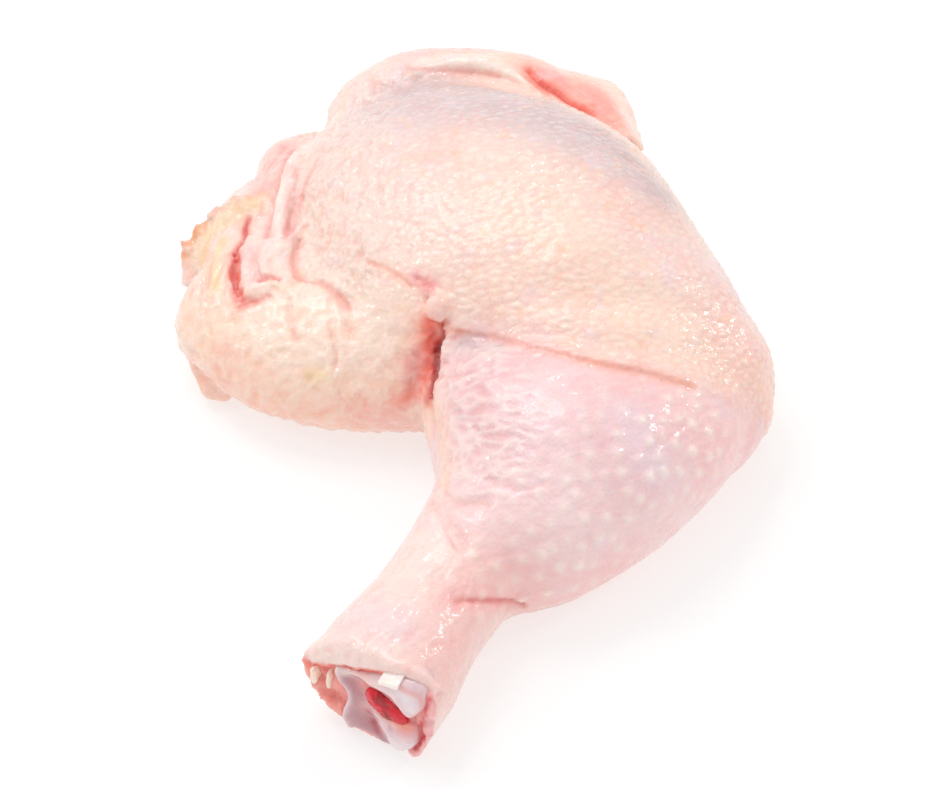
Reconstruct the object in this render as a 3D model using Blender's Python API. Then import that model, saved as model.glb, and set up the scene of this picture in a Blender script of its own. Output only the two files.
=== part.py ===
"""Raw chicken leg quarter, skin side up: thigh, drumstick and the piece of back left on the thigh.

Lengths in the tables are millimetres. +X runs from the back towards the knee, the drumstick's
hock points to -Y, and +Z is up. The tables are laid out about the middle of the thigh's fold;
at the end everything moves so that the middle of the footprint is the origin.
"""

import math

import bmesh
import bpy
import numpy as np
from mathutils import Vector

MM = 0.001
RING_SIDES = 40
ROD_SIDES = 12
STEPS_BETWEEN_STATIONS = 6
CAP_RINGS = 6
MASS_VOXEL = 1.5
SKIN_VOXEL = 1.0
SLIT_VOXEL = 0.8
BONE_VOXEL = 0.7
MASS_SMOOTHING = 12
KNEE_SMOOTHING = 40
FLESH_FACES = 7000
BONE_FACES = 1000
MARROW_FACES = 360
GAP = 0.4

# A station of a fleshy mass: x, y, height of its widest line, width to the left and to the
# right of the line of travel, rise above the widest line and drop below it.
THIGH = [
    (-40, 44, 12, 20, 21, 14, 13),
    (-27, 42, 14, 31, 34, 24, 16),
    (-10, 36, 15, 41, 42, 31, 20),
    (9, 25, 16, 42, 44, 34, 22),
    (27, 12, 16, 34, 38, 33, 22),
    (44, 0, 16, 21, 25, 26, 20),
    (58, -11, 15, 11, 13, 17, 16),
]
BACK = [
    (2, 6, 12, 22, 19, 21, 15),
    (-18, 4, 12, 22, 21, 19, 15),
    (-36, 9, 12, 24.5, 24, 17, 14),
    (-48, 20, 12, 24, 24, 15, 13),
]
HIP = [
    (-30, 48, 12, 12, 12, 15, 13),
    (-44, 40, 12, 14, 14, 13, 13),
    (-53, 29, 11, 12, 12, 13, 12),
]
RUMP = [
    (-25, 66, 18, 11, 12, 14, 18),
    (-14, 71.5, 20, 13, 15, 15, 21),
    (0, 72, 20, 14, 15, 15, 21),
    (14, 70, 20, 13, 14, 14, 21),
    (27, 62, 18, 10, 11, 12, 19),
]
THIGH_FRONT = [
    (-2, -1, 14, 12, 9, 23, 8),
    (10, -8, 15, 14, 11, 25, 10),
    (25, -13, 15, 16, 13, 26, 12),
    (40, -13, 15, 14, 13, 24, 14),
    (52, -12, 15, 10, 10, 18, 16),
]
DRUMSTICK = [
    (28, 4, 16, 33, 34, 18, 18),
    (27, -9, 17, 36, 36, 19, 20),
    (24, -22, 17, 35, 36, 22, 21),
    (18, -36, 17, 29, 32, 23, 21),
    (10, -48, 15, 21.5, 23.5, 19, 18),
    (0, -58, 13, 13, 15, 14, 15),
    (-8, -70, 12.5, 12.5, 13.6, 12, 13),
    (-15, -81, 12.5, 14.8, 15, 12.7, 13),
    (-22, -93, 12.5, 15.5, 16.5, 13, 13),
]
KNEE = [
    (50, -8, 15, 11, 10, 16, 15),
    (58, -17, 15, 10, 9, 13, 15),
]

# A roll of skin or fat lying on the masses: x, y, z and radius along its middle.
ROLLS = [
    [(-37, 56, 24, 1), (-41.6, 46, 25.6, 1.8), (-43.2, 36.5, 25, 1.8), (-43.5, 27.5, 25.3, 1)],
    [(-36.8, 28, 27.4, 0.9), (-39.5, 22.5, 27, 1.6), (-45, 16.5, 27.2, 1.7), (-45.5, 12.5, 27.5, 1.7),
     (-41, 7.5, 28, 1.6), (-37, 1.5, 28, 0.9)],
    [(-51.5, 6.5, 25.5, 1), (-47.3, 7.1, 27, 1.8), (-42, 7.6, 27.8, 1)],
    [(-53, 31, 23, 1.5), (-56.4, 26, 22, 2.4), (-57.6, 20, 22, 2.4), (-56.4, 11, 23, 1.2)],
    [(-55.5, 33.5, 22, 2.2), (-51.5, 36.5, 23, 3), (-47.5, 37.5, 22.5, 1.6)],
    [(-52, 37, 19, 2), (-58.4, 34, 17.5, 3), (-62.5, 30.5, 15, 3), (-64.5, 24, 12, 2)],
    [(-12, 69.5, 33, 1.2), (-4.7, 72.7, 34, 2.4), (4.7, 71, 34.2, 2.4), (13, 66, 34, 1.8),
     (22, 56, 34, 1.2)],
    [(-7.6, -5.2, 35, 1.7), (-9, -7.6, 34, 1.9)],
    [(-36, 66, 13, 4), (-41, 61.5, 14, 5.5), (-45, 56, 15, 5.2), (-47, 47, 15, 4)],
    [(46, -33, 13, 6), (53, -26, 14, 7.5), (58.5, -17.5, 15, 8)],
    [(-26, -77, 13, 3), (-32.5, -84.5, 14, 4.5), (-38, -93, 14, 5)],
]

# A flap of loose skin: rows of places from its root in the flesh to its free edge.
FLAP_THICKNESS = 2.2
COLLAR_FLAP = [
    [(6, 74, 24), (17, 68, 26), (27, 60, 26), (32, 50, 25)],
    [(8, 80, 27), (21, 75, 28), (31, 67, 27), (37, 55, 27)],
    [(13, 84, 26), (26, 79, 23), (34.5, 79, 21.5), (39, 69, 20), (40.5, 57, 20)],
]
UNDER_FLAP = [
    [(-52, 12, 8), (-51, 4, 7), (-48, -2, 6)],
    [(-60, 9, 8), (-57, 2, 6), (-52, -3, 4.5)],
    [(-65, 9, 8.5), (-63, 2, 6), (-60, -3.5, 3), (-54, -4, 2.5)],
]

# A crease: depth, half width, and its places along the skin.
CREASES = [
    (2.2, 1.8, [(-7, -7, 34), (-6.9, -11.2, 29.8), (-7.3, -17.4, 25.4), (-7.7, -27.6, 20.2)]),
    (1.4, 1.6, [(-38, 23.5, 27), (-39, 15.5, 28), (-38, 10.7, 28.6), (-31.7, 6, 29.5), (-26, -1.4, 29.5)]),
    (1.6, 1.5, [(-49.5, 4, 25.5), (-45, 4.5, 26.5), (-41, 4.5, 27.5)]),
    (1.6, 1.8, [(-12, 67, 34), (2.3, 66.9, 34.4), (13.7, 56, 40)]),
    (3.4, 2.2, [(13, 67, 33), (21, 61, 34), (28, 54, 33)]),
    (1.4, 1.8, [(-5.6, -46.9, 24), (-1.9, -52.5, 27), (2.9, -53.9, 29)]),
    (1.2, 1.6, [(-6, -49.7, 24), (-3.9, -57, 26), (-1.8, -61.9, 25.8)]),
    (2, 1.8, [(-3.8, -74.6, 23), (6.6, -68.4, 17), (9.7, -66.5, 12)]),
    (1.5, 1.6, [(-61, 8, 10), (-57, 0, 9), (-52, -5, 8)]),
]

# The thigh's skin steps down onto the drumstick along this line, from the fold to the knee.
FOLD_LINE = [
    (-6.5, -9.5, 32.7), (3, -12.2, 34.2), (13.3, -19.1, 37.9), (26, -24.3, 39.1),
    (37.8, -25.5, 36.9), (46.4, -25.6, 33.4),
]
FOLD_LIP = 1.3
FOLD_LIP_REACH = 9
FOLD_DIP = 0.9
FOLD_DIP_REACH = 3
FOLD_SOFTNESS = 0.9

# The open slit beside the hip: its line and its half width at the skin.
SLIT = [
    (-50.4, 31, 25, 0.6), (-50.8, 25, 25, 1.2), (-52.2, 18, 26, 1.6), (-53, 12, 25.5, 1.4),
    (-50.5, 5, 25.5, 0.6),
]
SLIT_DEPTH = 5
SLIT_LIFT = 3
SLIT_TOP_SPREAD = 1.6
SLIT_FOOT_SPREAD = 0.25

# The hock is cut across; places near it are given as side, height and how far out of the leg.
# The cut leans: it reaches further out towards the underside. A rim of skin stands round it,
# whose inside is given as the height of its middle, half widths right and left, rise and drop.
HOCK = Vector((-20, -88, 0))
HOCK_OUT = Vector((-0.515, -0.857, 0))
HOCK_SIDE = Vector((0.857, -0.515, 0))
SHANK_TOP = 25
CUT_LEAN = 0.12
RIM_DEPTH = 1.2
RIM_SECTION = (12.5, 13.6, 15, 10.8, 10.8)

# Round pieces that run through the flesh: x, y, z and radius from the hock inwards.
SHAFT = [(-14.5, -86, 13.8, 6.5), (-10, -79, 14, 5.2), (-3, -68, 14.8, 4.3), (12, -45, 16.5, 4.1),
         (26, -23, 18, 4.6), (33, -12, 18.8, 6), (37, -6, 19, 7)]
MARROW_RADIUS = 2.1
MARROW_BULB = (4.1, 16, 0)
MARROW_BULB_RADII = (4.4, 3.4, 3.6)
MARROW_FACE = 1
# Knobs of the bone's end: side, height, out, and radii sideways, in height and outwards.
BONE_KNOBS = [
    (3.5, 13.5, -5, 8.2, 6.8, 5.5),
    (1.5, 11.8, -2, 8.8, 8.2, 4.4),
    (7.9, 17, -2.2, 4.4, 4.4, 5),
    (8, 9.2, -0.4, 4.4, 4.3, 4.8),
    (-6.6, 16.6, -2.6, 1.9, 2.8, 4.6),
    (-5.6, 12.2, -1.8, 2, 3.8, 4.6),
    (-3.2, 7.6, -0.8, 2.4, 3.4, 4.6),
]
# The hollow in the bone's end between its ridge and its knobs, given as the knobs are.
BONE_DISH = (-1.4, 12, 5, 3, 4.8, 4.2)
# Tendons: side, height and out at their cut ends and inner ends, half width and half height.
TENDONS = {
    "tendon_outer": [(-14, 12.6, 0.8), (-11, 12.6, -10), (-8.6, 12.8, -20), 1.4, 3.2],
    "tendon_inner": [(-10.3, 14.6, 0.8), (-8.4, 14.6, -9), (-6.6, 15, -18), 0.9, 3],
}
TAB_MIDDLE = (3.6, 22.2, -1.2)
TAB_HALF = (2.3, 0.7, 2.4)

SKIN_COLOUR = (0.93, 0.72, 0.62)
CARTILAGE_COLOUR = (0.78, 0.72, 0.74)
MARROW_COLOUR = (0.42, 0.02, 0.03)
TENDON_COLOUR = (0.9, 0.78, 0.62)


def clear_scene():
    for obj in list(bpy.data.objects):
        bpy.data.objects.remove(obj)


def add_object(name, mesh):
    data = bpy.data.meshes.new(name)
    mesh.to_mesh(data)
    mesh.free()
    obj = bpy.data.objects.new(name, data)
    bpy.context.scene.collection.objects.link(obj)
    return obj


def at_hock(side, height, out=0):
    return HOCK + HOCK_SIDE * side + HOCK_OUT * out + Vector((0, 0, height))


def catmull_rom(rows, steps):
    """Rows of numbers, taken smoothly through each given row."""
    rows = np.array(rows, float)
    padded = np.vstack([2 * rows[0] - rows[1], rows, 2 * rows[-1] - rows[-2]])
    smooth = []
    for a, b, c, d in zip(padded, padded[1:], padded[2:], padded[3:]):
        for t in np.arange(steps) / steps:
            cubic = 3 * b - a - 3 * c + d
            smooth.append(0.5 * (2 * b + (c - a) * t + (2 * a - 5 * b + 4 * c - d) * t**2 + cubic * t**3))
    smooth.append(rows[-1])
    return np.array(smooth)


def section(station, heading, scale, forward, sides):
    """One ring of a mass, across its line of travel."""
    x, y, height, left, right, rise, drop = station
    across = Vector((heading.y, -heading.x, 0))
    centre = Vector((x, y, height)) + heading * forward
    ring = []
    for i in range(sides):
        angle = 2 * math.pi * i / sides
        side, up = math.cos(angle), math.sin(angle)
        width = right if side > 0 else left
        lift = rise if up > 0 else drop
        ring.append((centre + across * side * width * scale + Vector((0, 0, up * lift * scale))) * MM)
    return ring


def loft(name, stations, nose=0.8, sides=RING_SIDES, steps=STEPS_BETWEEN_STATIONS):
    """A closed mass through its stations, with rounded ends."""
    rows = catmull_rom(stations, steps)
    last = len(rows) - 1
    turns = [math.pi / 2 * k / CAP_RINGS for k in range(1, CAP_RINGS)]
    rings = []
    for i, row in enumerate(rows):
        step = rows[min(i + 1, last)] - rows[max(i - 1, 0)]
        heading = Vector((step[0], step[1], 0)).normalized()
        reach = nose * min(row[3], row[4], row[5])
        ring = [section(row, heading, 1, 0, sides)]
        cap = [(math.cos(t), reach * math.sin(t)) for t in turns]
        if i == 0:
            ring = [section(row, heading, scale, -forward, sides) for scale, forward in cap[::-1]] + ring
        if i == last:
            ring += [section(row, heading, scale, forward, sides) for scale, forward in cap]
        rings += ring
    mesh = bmesh.new()
    verts = [[mesh.verts.new(p) for p in ring] for ring in rings]
    for a, b in zip(verts, verts[1:]):
        for i in range(sides):
            j = (i + 1) % sides
            mesh.faces.new((a[i], a[j], b[j], b[i]))
    mesh.faces.new(verts[0][::-1])
    mesh.faces.new(verts[-1])
    bmesh.ops.recalc_face_normals(mesh, faces=mesh.faces)
    return add_object(name, mesh)


def roll(name, points, nose=0.9, sides=ROD_SIDES):
    """A round rod or a roll of skin through points that hold a radius."""
    stations = [(x, y, z, r, r, r, r) for x, y, z, r in points]
    return loft(name, stations, nose, sides, 4)


def flap(name, rows):
    """A sheet of skin through its rows, as thick as the skin and the fat under it."""
    columns = 4 * STEPS_BETWEEN_STATIONS
    lines = []
    for row in rows:
        fine = catmull_rom(row, STEPS_BETWEEN_STATIONS)
        spots = np.linspace(0, len(fine) - 1, columns)
        lines.append([[np.interp(s, range(len(fine)), fine[:, axis]) for axis in range(3)] for s in spots])
    grid = catmull_rom(np.array(lines).reshape(len(rows), -1), STEPS_BETWEEN_STATIONS)
    mesh = bmesh.new()
    verts = [[mesh.verts.new(p * MM) for p in line.reshape(columns, 3)] for line in grid]
    for a, b in zip(verts, verts[1:]):
        for i in range(columns - 1):
            mesh.faces.new((a[i], a[i + 1], b[i + 1], b[i]))
    obj = add_object(name, mesh)
    solidify = obj.modifiers.new("thickness", "SOLIDIFY")
    solidify.thickness = FLAP_THICKNESS * MM
    solidify.offset = 0
    apply_modifiers(obj)
    return obj


def ellipsoid(name, side, height, out, wide, tall, deep):
    """A knob near the hock, with its axes along the hock's own directions."""
    mesh = bmesh.new()
    bmesh.ops.create_icosphere(mesh, subdivisions=3, radius=1)
    for vert in mesh.verts:
        x, y, z = vert.co
        vert.co = at_hock(side + x * wide, height + z * tall, out + y * deep) * MM
    bmesh.ops.recalc_face_normals(mesh, faces=mesh.faces)
    return add_object(name, mesh)


def block(name, corners):
    """A closed block from two matching loops of four corners."""
    mesh = bmesh.new()
    near, far = [[mesh.verts.new(corner * MM) for corner in loop] for loop in corners]
    mesh.faces.new(near)
    mesh.faces.new(far)
    for i in range(4):
        j = (i + 1) % 4
        mesh.faces.new((near[i], near[j], far[j], far[i]))
    bmesh.ops.recalc_face_normals(mesh, faces=mesh.faces)
    return add_object(name, mesh)


def hock_cutter(name, shift, reach=60):
    """Everything beyond the hock's leaning cut, moved out of the leg by shift."""
    low, high = -20, 60
    loops = []
    for side in (-40, 40):
        loops.append([
            at_hock(side, low, shift + (SHANK_TOP - low) * CUT_LEAN),
            at_hock(side, high, shift + (SHANK_TOP - high) * CUT_LEAN),
            at_hock(side, high, reach),
            at_hock(side, low, reach),
        ])
    return block(name, loops)


def apply_modifiers(obj):
    graph = bpy.context.evaluated_depsgraph_get()
    made = bpy.data.meshes.new_from_object(obj.evaluated_get(graph))
    obj.modifiers.clear()
    obj.data = made


def join(name, objects):
    mesh = bmesh.new()
    for obj in objects:
        mesh.from_mesh(obj.data)
        bpy.data.objects.remove(obj)
    return add_object(name, mesh)


def cut(obj, cutter):
    boolean = obj.modifiers.new("cut", "BOOLEAN")
    boolean.operation = "DIFFERENCE"
    boolean.object = cutter
    apply_modifiers(obj)
    bpy.data.objects.remove(cutter)


def fuse(obj, voxel, smoothing):
    """Overlapping masses become one skin, relaxed where they meet."""
    remesh = obj.modifiers.new("fuse", "REMESH")
    remesh.mode = "VOXEL"
    remesh.voxel_size = voxel * MM
    apply_modifiers(obj)
    relax(obj, smoothing)


def relax(obj, iterations, weight=None):
    """Smooths the skin, everywhere or as far as weight, a rule from places in mm to 0 to 1, says."""
    smooth = obj.modifiers.new("relax", "SMOOTH")
    smooth.factor = 0.5
    smooth.iterations = iterations
    if weight:
        group = obj.vertex_groups.new(name="relaxed")
        for vertex in obj.data.vertices:
            group.add([vertex.index], weight(vertex.co / MM), "REPLACE")
        smooth.vertex_group = group.name
    apply_modifiers(obj)
    obj.vertex_groups.clear()


def near_knee(point):
    """From 0 over the thigh to 1 over the knee, where the masses run together smoothly."""
    start, full = 34, 48
    return min(1, max(0, (point.x - start) / (full - start)))


def simplify(obj, faces):
    triangles = sum(len(polygon.vertices) - 2 for polygon in obj.data.polygons)
    decimate = obj.modifiers.new("simplify", "DECIMATE")
    decimate.ratio = faces / triangles
    decimate.use_collapse_triangulate = True
    apply_modifiers(obj)


def displace(obj, rule):
    """Moves the skin along its normals by rule, from places in mm to heights in mm."""
    count = len(obj.data.vertices)
    places = np.empty(count * 3, np.float32)
    normals = np.empty(count * 3, np.float32)
    obj.data.vertices.foreach_get("co", places)
    obj.data.vertex_normals.foreach_get("vector", normals)
    places = places.reshape(-1, 3)
    heights = rule(places / MM)
    places += normals.reshape(-1, 3) * heights[:, None] * MM
    obj.data.vertices.foreach_set("co", places.ravel())
    obj.data.update()


def distance_to(path, places):
    """Distance from each place to a path, and the side of the path that it is on, seen from above."""
    fine = catmull_rom(path, STEPS_BETWEEN_STATIONS)
    nearest = np.full(len(places), np.inf)
    side = np.zeros(len(places))
    for a, b in zip(fine, fine[1:]):
        along = b - a
        share = np.clip((places - a) @ along / (along @ along), 0, 1)
        away = places - a - share[:, None] * along
        distance = np.linalg.norm(away, axis=1)
        closer = distance < nearest
        nearest[closer] = distance[closer]
        turn = along[0] * away[:, 1] - along[1] * away[:, 0]
        side[closer] = np.sign(turn[closer])
    return nearest, side


def folds(places):
    """The step of the thigh's skin over the drumstick, and the creases."""
    distance, side = distance_to(FOLD_LINE, places)
    lip = FOLD_LIP * np.exp(-distance / FOLD_LIP_REACH)
    dip = FOLD_DIP * np.exp(-distance / FOLD_DIP_REACH)
    on_thigh = 0.5 + 0.5 * np.tanh(side * distance / FOLD_SOFTNESS)
    heights = lip * on_thigh - dip * (1 - on_thigh)
    for depth, half_width, path in CREASES:
        distance, _ = distance_to(path, places)
        heights -= depth * np.exp(-(distance / half_width) ** 2)
    return heights


def slit_cutter():
    """A wedge that follows the slit, widest above the skin and closed at its depth."""
    rows = catmull_rom(SLIT, STEPS_BETWEEN_STATIONS)
    mesh = bmesh.new()
    rings = []
    for i, (x, y, z, half_width) in enumerate(rows):
        step = rows[min(i + 1, len(rows) - 1)] - rows[max(i - 1, 0)]
        across = Vector((step[1], -step[0], 0)).normalized() * half_width
        top = Vector((x, y, z + SLIT_LIFT))
        foot = Vector((x, y, z - SLIT_DEPTH))
        rings.append([
            top + across * SLIT_TOP_SPREAD,
            top - across * SLIT_TOP_SPREAD,
            foot - across * SLIT_FOOT_SPREAD,
            foot + across * SLIT_FOOT_SPREAD,
        ])
    verts = [[mesh.verts.new(p * MM) for p in ring] for ring in rings]
    for a, b in zip(verts, verts[1:]):
        for i in range(4):
            j = (i + 1) % 4
            mesh.faces.new((a[i], a[j], b[j], b[i]))
    mesh.faces.new(verts[0][::-1])
    mesh.faces.new(verts[-1])
    bmesh.ops.recalc_face_normals(mesh, faces=mesh.faces)
    return add_object("slit", mesh)


def make_skin():
    """The whole leg with its folds, before anything is cut out of it."""
    masses = [loft("thigh", THIGH), loft("back", BACK), loft("hip", HIP), loft("rump", RUMP),
              loft("front", THIGH_FRONT)]
    body = join("leg_flesh", masses)
    fuse(body, MASS_VOXEL, MASS_SMOOTHING)
    body = join("leg_flesh", [body, loft("drumstick", DRUMSTICK), loft("knee", KNEE)])
    fuse(body, SKIN_VOXEL, 5)
    relax(body, KNEE_SMOOTHING, near_knee)
    rolls = [roll("roll", points) for points in ROLLS]
    flaps = [flap("flap", COLLAR_FLAP), flap("flap", UNDER_FLAP)]
    body = join("leg_flesh", [body] + rolls + flaps)
    fuse(body, SKIN_VOXEL, 3)
    displace(body, folds)
    cut(body, slit_cutter())
    fuse(body, SLIT_VOXEL, 3)
    return body


def make_bone():
    """The shin bone from the knee to its knobbly, gristle-covered end at the hock."""
    knobs = [ellipsoid("knob", *knob) for knob in BONE_KNOBS]
    bone = join("shin_bone", [roll("shaft", SHAFT)] + knobs)
    fuse(bone, BONE_VOXEL, 4)
    cut(bone, ellipsoid("dish", *BONE_DISH))
    fuse(bone, BONE_VOXEL, 3)
    simplify(bone, BONE_FACES)
    return bone


def make_marrow():
    """The marrow inside the shaft, which widens to the patch that shows at the bone's end."""
    core = roll("core", [(x, y, z, MARROW_RADIUS) for x, y, z, _ in SHAFT[:-1]])
    marrow = join("bone_marrow", [core, ellipsoid("bulb", *MARROW_BULB, *MARROW_BULB_RADII)])
    fuse(marrow, BONE_VOXEL, 1)
    simplify(marrow, MARROW_FACES)
    return marrow


def make_tendon(name):
    *spots, half_width, half_height = TENDONS[name]
    places = [at_hock(*spot) for spot in spots]
    stations = [(*place, half_width, half_width, half_height, half_height) for place in places]
    return loft(name, stations, sides=ROD_SIDES, steps=3)


def make_tab():
    side, height, out = TAB_MIDDLE
    wide, tall, deep = TAB_HALF
    loops = []
    for reach in (out - deep, out + deep):
        loops.append([
            at_hock(side - wide, height - tall, reach),
            at_hock(side + wide, height - tall, reach),
            at_hock(side + wide, height + tall, reach),
            at_hock(side - wide, height + tall, reach),
        ])
    return block("cartilage_tab", loops)


def seat(obj):
    """The room that a piece takes in the flesh or bone around it: the piece, grown by the gap."""
    twin = bpy.data.objects.new("seat", obj.data.copy())
    bpy.context.scene.collection.objects.link(twin)
    displace(twin, lambda places: np.full(len(places), GAP))
    return twin


def rim_cutter():
    """The hollow inside the skin's rim at the cut hock."""
    height, right, left, rise, drop = RIM_SECTION
    inner, outer = [at_hock(0, height, out) for out in (-RIM_DEPTH, 20)]
    stations = [(*inner, right, left, rise, drop), (*outer, right, left, rise, drop)]
    return loft("rim", stations, nose=0.1)


def floor_cutter():
    corners = [(-150, -150), (150, -150), (150, 150), (-150, 150)]
    return block("floor", [[Vector((x, y, z)) for x, y in corners] for z in (-60, 0)])


def stand_on_origin(objects):
    """Moves everything so that the middle of its footprint is the origin; returns the move in mm."""
    corners = np.array([obj.matrix_world @ vertex.co for obj in objects for vertex in obj.data.vertices])
    middle = (corners.min(axis=0) + corners.max(axis=0)) / 2
    move = Vector((-middle[0], -middle[1], 0))
    for obj in objects:
        for vertex in obj.data.vertices:
            vertex.co += move
        obj.data.update()
    return move / MM


def paint(obj, colour, roughness):
    material = bpy.data.materials.new(obj.name)
    material.use_nodes = True
    shader = material.node_tree.nodes["Principled BSDF"]
    shader.inputs["Base Color"].default_value = (*colour, 1)
    shader.inputs["Roughness"].default_value = roughness
    obj.data.materials.clear()
    obj.data.materials.append(material)
    obj.data.shade_smooth()


def main():
    clear_scene()
    flesh = make_skin()
    simplify(flesh, FLESH_FACES)
    cut(flesh, floor_cutter())
    cut(flesh, hock_cutter("end", 0))
    cut(flesh, rim_cutter())
    bone = make_bone()
    cut(flesh, seat(bone))
    marrow = make_marrow()
    cut(bone, seat(marrow))
    cut(marrow, hock_cutter("end", MARROW_FACE))
    tab = make_tab()
    cut(flesh, seat(tab))
    tendons = [make_tendon(name) for name in TENDONS]
    for tendon in tendons:
        cut(flesh, seat(tendon))
    paint(flesh, SKIN_COLOUR, 0.45)
    paint(bone, CARTILAGE_COLOUR, 0.3)
    paint(marrow, MARROW_COLOUR, 0.3)
    paint(tab, TENDON_COLOUR, 0.4)
    for tendon in tendons:
        paint(tendon, TENDON_COLOUR, 0.4)
    return stand_on_origin([flesh, bone, marrow, tab] + tendons)


main()
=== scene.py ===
"""Raw chicken leg quarter, skin side up, as it looks: fine skin, cut hock, light and camera.

Lengths in the tables are millimetres. +X runs from the back towards the knee, the drumstick's
hock points to -Y, and +Z is up. The tables are laid out about the middle of the thigh's fold;
at the end everything moves onto the frame's own box.
"""

import math

import bmesh
import bpy
import numpy as np
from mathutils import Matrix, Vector
from mathutils.bvhtree import BVHTree
from mathutils.kdtree import KDTree


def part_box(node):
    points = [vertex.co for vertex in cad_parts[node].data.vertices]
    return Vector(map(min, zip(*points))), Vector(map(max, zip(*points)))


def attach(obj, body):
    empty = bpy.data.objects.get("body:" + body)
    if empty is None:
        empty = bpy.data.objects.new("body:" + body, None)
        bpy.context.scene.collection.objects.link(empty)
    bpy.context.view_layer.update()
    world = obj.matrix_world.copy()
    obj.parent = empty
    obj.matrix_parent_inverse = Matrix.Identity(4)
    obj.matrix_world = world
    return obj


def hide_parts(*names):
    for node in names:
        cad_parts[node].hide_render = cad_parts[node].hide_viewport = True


MM = 0.001
RING_SIDES = 64
ROD_SIDES = 20
STEPS_BETWEEN_STATIONS = 6
CAP_RINGS = 6
MASS_VOXEL = 1.5
DRUM_VOXEL = 1.0
DETAIL_VOXEL = 0.7
SKIN_VOXEL = 0.6
BONE_VOXEL = 0.4
MARROW_VOXEL = 0.3
TENDON_VOXEL = 0.3
TAB_VOXEL = 0.2
MASS_SMOOTHING = 12
KNEE_SMOOTHING = 40
LIP_SMOOTHING = 60
KNEE_START, KNEE_FULL = 34, 48
CUTTER_SIDE, CUTTER_LOW, CUTTER_HIGH, CUTTER_REACH = 40, -20, 60, 60

# A station of a fleshy mass: x, y, height of its widest line, width to the left and to the
# right of the line of travel, rise above the widest line and drop below it.
THIGH = [
    (-40, 44, 12, 20, 21, 14, 13),
    (-27, 42, 14, 31, 34, 24, 16),
    (-10, 36, 15, 41, 42, 31, 20),
    (9, 25, 16, 42, 44, 34, 22),
    (27, 12, 16, 34, 38, 33, 22),
    (44, 0, 16, 21, 25, 26, 20),
    (58, -11, 15, 11, 13, 17, 16),
]
BACK = [
    (2, 6, 12, 22, 19, 21, 15),
    (-18, 4, 12, 22, 21, 19, 15),
    (-36, 9, 12, 24.5, 24, 17, 14),
    (-48, 20, 12, 24, 24, 15, 13),
]
HIP = [
    (-30, 48, 12, 12, 12, 15, 13),
    (-44, 40, 12, 14, 14, 13, 13),
    (-53, 29, 11, 12, 12, 13, 12),
]
RUMP = [
    (-25, 66, 18, 11, 12, 14, 18),
    (-14, 71.5, 20, 13, 15, 15, 21),
    (0, 72, 20, 14, 15, 15, 21),
    (14, 70, 20, 13, 14, 14, 21),
    (27, 62, 18, 10, 11, 12, 19),
]
THIGH_FRONT = [
    (-2, -1, 14, 12, 9, 23, 8),
    (10, -8, 15, 14, 11, 25, 10),
    (25, -13, 15, 16, 13, 26, 12),
    (40, -13, 15, 14, 13, 24, 14),
    (52, -12, 15, 10, 10, 18, 16),
]
DRUMSTICK = [
    (28, 4, 16, 33, 34, 18, 18),
    (27, -9, 17, 36, 36, 19, 20),
    (24, -22, 17, 35, 36, 22, 21),
    (18, -36, 17, 29, 32, 23, 21),
    (10, -48, 15, 21.5, 23.5, 19, 18),
    (0, -58, 13, 13, 15, 14, 15),
    (-8, -70, 12.5, 12.5, 13.6, 12, 13),
    (-15, -81, 12.5, 14.8, 15, 12.7, 13),
    (-22, -93, 12.5, 15.5, 16.5, 13, 13),
]
KNEE = [
    (50, -8, 15, 11, 10, 16, 15),
    (58, -17, 15, 10, 9, 13, 15),
]

# A roll of skin or fat lying on the masses: x, y, z and radius along its middle.
ROLLS = [
    [(-37, 56, 24.4, 1), (-40, 48, 26.6, 1.9), (-42, 39, 26.3, 1.9), (-43, 31, 26, 1.7),
     (-43.2, 23, 27, 0.9)],
    [(-36.8, 28, 27.4, 0.9), (-39.5, 22.5, 27, 1.6), (-45, 16.5, 27.2, 1.7),
     (-45.5, 12.5, 27.5, 1.7), (-41, 7.5, 28, 1.6), (-37, 1.5, 28, 0.9)],
    [(-51.5, 6.5, 25.5, 1), (-47.3, 7.1, 27, 1.8), (-42, 7.6, 27.8, 1)],
    [(-52, 31.5, 23, 1.6), (-54.5, 26, 22.3, 2.4), (-56.4, 20, 22, 2.5), (-56.4, 11, 23, 1.2)],
    [(-55.5, 33.5, 22, 2.2), (-51.5, 36.5, 23, 3), (-47.5, 37.5, 22.5, 1.6)],
    [(-52, 37, 19, 2), (-58.4, 34, 17.5, 3), (-62.5, 30.5, 15, 3), (-64.5, 24, 12, 2)],
    [(-12, 69.5, 33, 1.2), (-4.7, 72.7, 34, 2.4), (4.7, 71, 34.2, 2.4), (13, 66, 34, 1.8),
     (22, 56, 34, 1.2)],
    [(-5.4, -4, 37, 1.5), (-6.8, -6.2, 36.4, 2.5), (-7.2, -7.4, 35.6, 2.3)],
    [(-3.9, -11, 32.8, 1.4), (-4.5, -12.6, 30.8, 1.9), (-5.2, -15.6, 28, 2),
     (-5.8, -20, 25.2, 1.8)],
    [(-36, 66, 13, 4), (-41, 61.5, 14, 5.5), (-45, 56, 15, 5.2), (-47, 47, 15, 4)],
    [(46, -33, 13, 6), (53, -26, 14, 7.5), (58.5, -17.5, 15, 8)],
    [(-26, -77, 13, 3), (-32.5, -84.5, 14, 4.5), (-38, -93, 14, 5)],
]

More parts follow.
